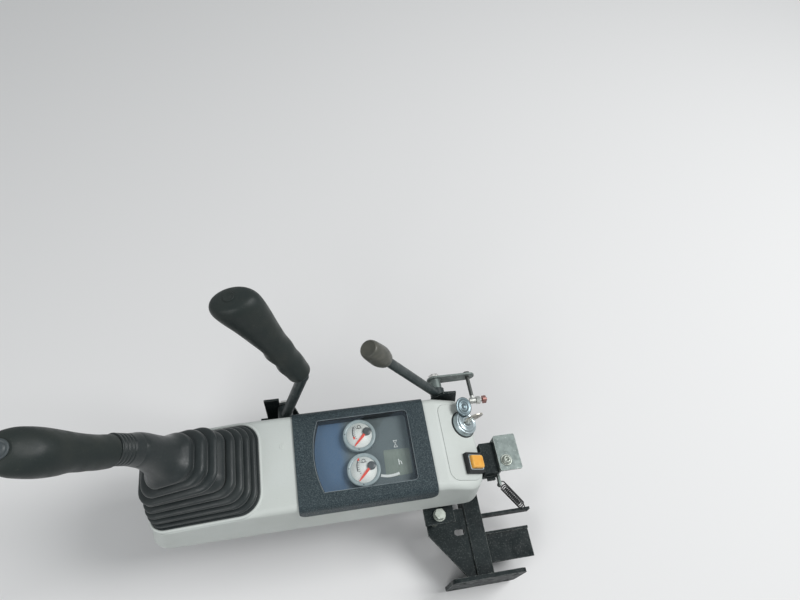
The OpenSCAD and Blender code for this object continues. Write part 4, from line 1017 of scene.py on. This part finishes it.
mottle(zinc_plate, 0.003, (0.46, 0.50, 0.47), 0.45, 0.6, 0.72, seed=(3, 3, 3))
tint(zinc_plate, edges(zinc_plate, 0.0010, 8), (0.62, 0.65, 0.60), 0.8)
roughen(zinc_plate, spots(zinc_plate, 0.006), 0.36, 0.55)
pebble(zinc_plate, 0.0014, 0.00006)
clad("throttle_crank", "throttle_lever", zinc_plate, "zinc_plate", 0.0005)
swivel_steel = finish("swivel_steel", (0.62, 0.63, 0.60), 0.34, 1.0)
mottle(swivel_steel, 0.006, (0.44, 0.44, 0.40), 0.5)
tint(swivel_steel, zone(swivel_steel, "X", at(327, 0, 0).x, at(328, 0, 0).x), (0.33, 0.13, 0.11), 0.85)
tint(swivel_steel, zone(swivel_steel, "Y", at(0, 73, 0).y, at(0, 75, 0).y), (0.055, 0.062, 0.060), 0.9)
roughen(swivel_steel, spots(swivel_steel, 0.003), 0.28, 0.48)
clad("cable_clamp", "throttle_lever", swivel_steel, "bright_steel", 0.0005)

# Tray, arm and stop: black painted steel. The tray carries the tilt lugs; the folded arm carries
# the hinge barrel, the finger under the stop bolt, the shelf and the bar for the spring.
clad("tray", "console", dark_steel, "dark_steel", 0.0008)
clad("arm", "arm", dark_steel, "dark_steel", 0.0010, 3)
clad("spring_bar", "arm", dark_steel, "dark_steel", 0.0008)
clad("tilt_pin", "arm", bright_steel, "bright_steel", 0.0006)
bolt_zinc = finish("bolt_zinc", (0.42, 0.45, 0.41), 0.42, 0.85)
mottle(bolt_zinc, 0.005, (0.24, 0.26, 0.22), 0.6)
roughen(bolt_zinc, spots(bolt_zinc, 0.003), 0.32, 0.55)
pebble(bolt_zinc, 0.001, 0.00004)
clad("stop_bolt", "console", bolt_zinc, "bright_steel", 0.0008, 3)

# Latch: a zinc plated angle on the tray with a bolt and two washers, and the black latch box in
# front of it.
clad("latch_bracket", "console", zinc_plate, "zinc_plate", 0.0010, 3)
clad("latch_box", "console", dark_steel, "dark_steel", 0.0010)
LATCH_BOLT = [
    (3.6, -6.2), (4, -5.8), (4, 3), (8.5, 3), (8.6, 3.4), (8.4, 4.3), (8, 4.6), (6.9, 4.6), (6.7, 4.2),
    (6.5, 4.6), (6.5, 6), (6, 6.6), (5.3, 6.7), (5.1, 7), (5.1, 9), (4.7, 9.4), (3.1, 9.4), (2.8, 9),
    (2.6, 6.4), (0.3, 6.2),
]
latch_bolt = lathe("latch_bolt_head", LATCH_BOLT, 60, at(349, -24, -60))
dress(latch_bolt, "console", bolt_zinc, "bright_steel", "latch_bolt")

# Counterbalance spring: wound from 1.8 mm steel wire, with a round hook at each end. It hangs
# between the arm's bar and the latch bracket, and takes part of the console's weight.
counter_spring = finish("counter_spring", (0.030, 0.032, 0.034), 0.5, 0.3, 0.3)
mottle(counter_spring, 0.01, (0.080, 0.082, 0.080), 0.6)
roughen(counter_spring, spots(counter_spring, 0.004), 0.3, 0.55)
pebble(counter_spring, 0.001, 0.00004)
low, top = at(386.5, -80, -145), at(338.5, -48, -85)
along_spring = (top - low).normalized()
length = (top - low).length
frame_turn = along_spring.to_track_quat("Z", "Y").to_matrix()
RING, WIRE, TURNS = 0.0056, 0.0009, 12
HOOK_STEPS, COIL_STEPS, HOOK_SWEEP = 24, 24, 260


def turn_to(way):
    """The turn about the spring's own length that brings its x nearest to a direction."""
    here = frame_turn.inverted() @ Vector(way)
    return math.atan2(here.y, here.x)


low_turn, top_turn = turn_to((0, 1, 0)), turn_to((1, 0, 0))
turns = TURNS + (top_turn - low_turn) / math.tau


def hook(start, middle, turn):
    """Points of a round hook about a place on the spring's axis, in the plane of that turn."""
    points = []
    for i in range(HOOK_STEPS):
        angle = math.radians(start + HOOK_SWEEP * i / (HOOK_STEPS - 1))
        side = RING * math.cos(angle)
        points.append(Vector((side * math.cos(turn), side * math.sin(turn), middle + RING * math.sin(angle))))
    return points


path = hook(100, RING, low_turn)
leg = 2 * RING + 0.002
for i in range(TURNS * COIL_STEPS + 1):
    share = i / (TURNS * COIL_STEPS)
    angle = low_turn + math.tau * turns * share
    path.append(Vector((RING * math.cos(angle), RING * math.sin(angle), mix(leg, length - leg, share))))
path += hook(0, length - RING, top_turn)
wire_path = bpy.data.meshes.new("counter_spring_path")
wire_path.from_pydata([low + frame_turn @ point for point in path], [(i, i + 1) for i in range(len(path) - 1)], [])
tree, given, (wire_radius,) = tree_of("wound_wire", radius="Float")
to_curve, to_mesh = tree.nodes.new("GeometryNodeMeshToCurve"), tree.nodes.new("GeometryNodeCurveToMesh")
circle = tree.nodes.new("GeometryNodeCurvePrimitiveCircle")
circle.inputs["Resolution"].default_value = 10
tree.links.new(given["radius"], circle.inputs["Radius"])
tree.links.new(given["Geometry"], to_curve.inputs["Mesh"])
tree.links.new(to_curve.outputs["Curve"], to_mesh.inputs["Curve"])
tree.links.new(circle.outputs["Curve"], to_mesh.inputs["Profile Curve"])
to_mesh.inputs["Fill Caps"].default_value = True
ended(tree, to_mesh.outputs["Mesh"], counter_spring)
spring = grown("counterbalance_spring", tree, {wire_radius: WIRE}, wire_path)
spring.data.materials.clear()
spring.data.materials.append(counter_spring)
for face in spring.data.polygons:
    face.use_smooth = True
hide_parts("latch_spring")
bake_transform(spring)
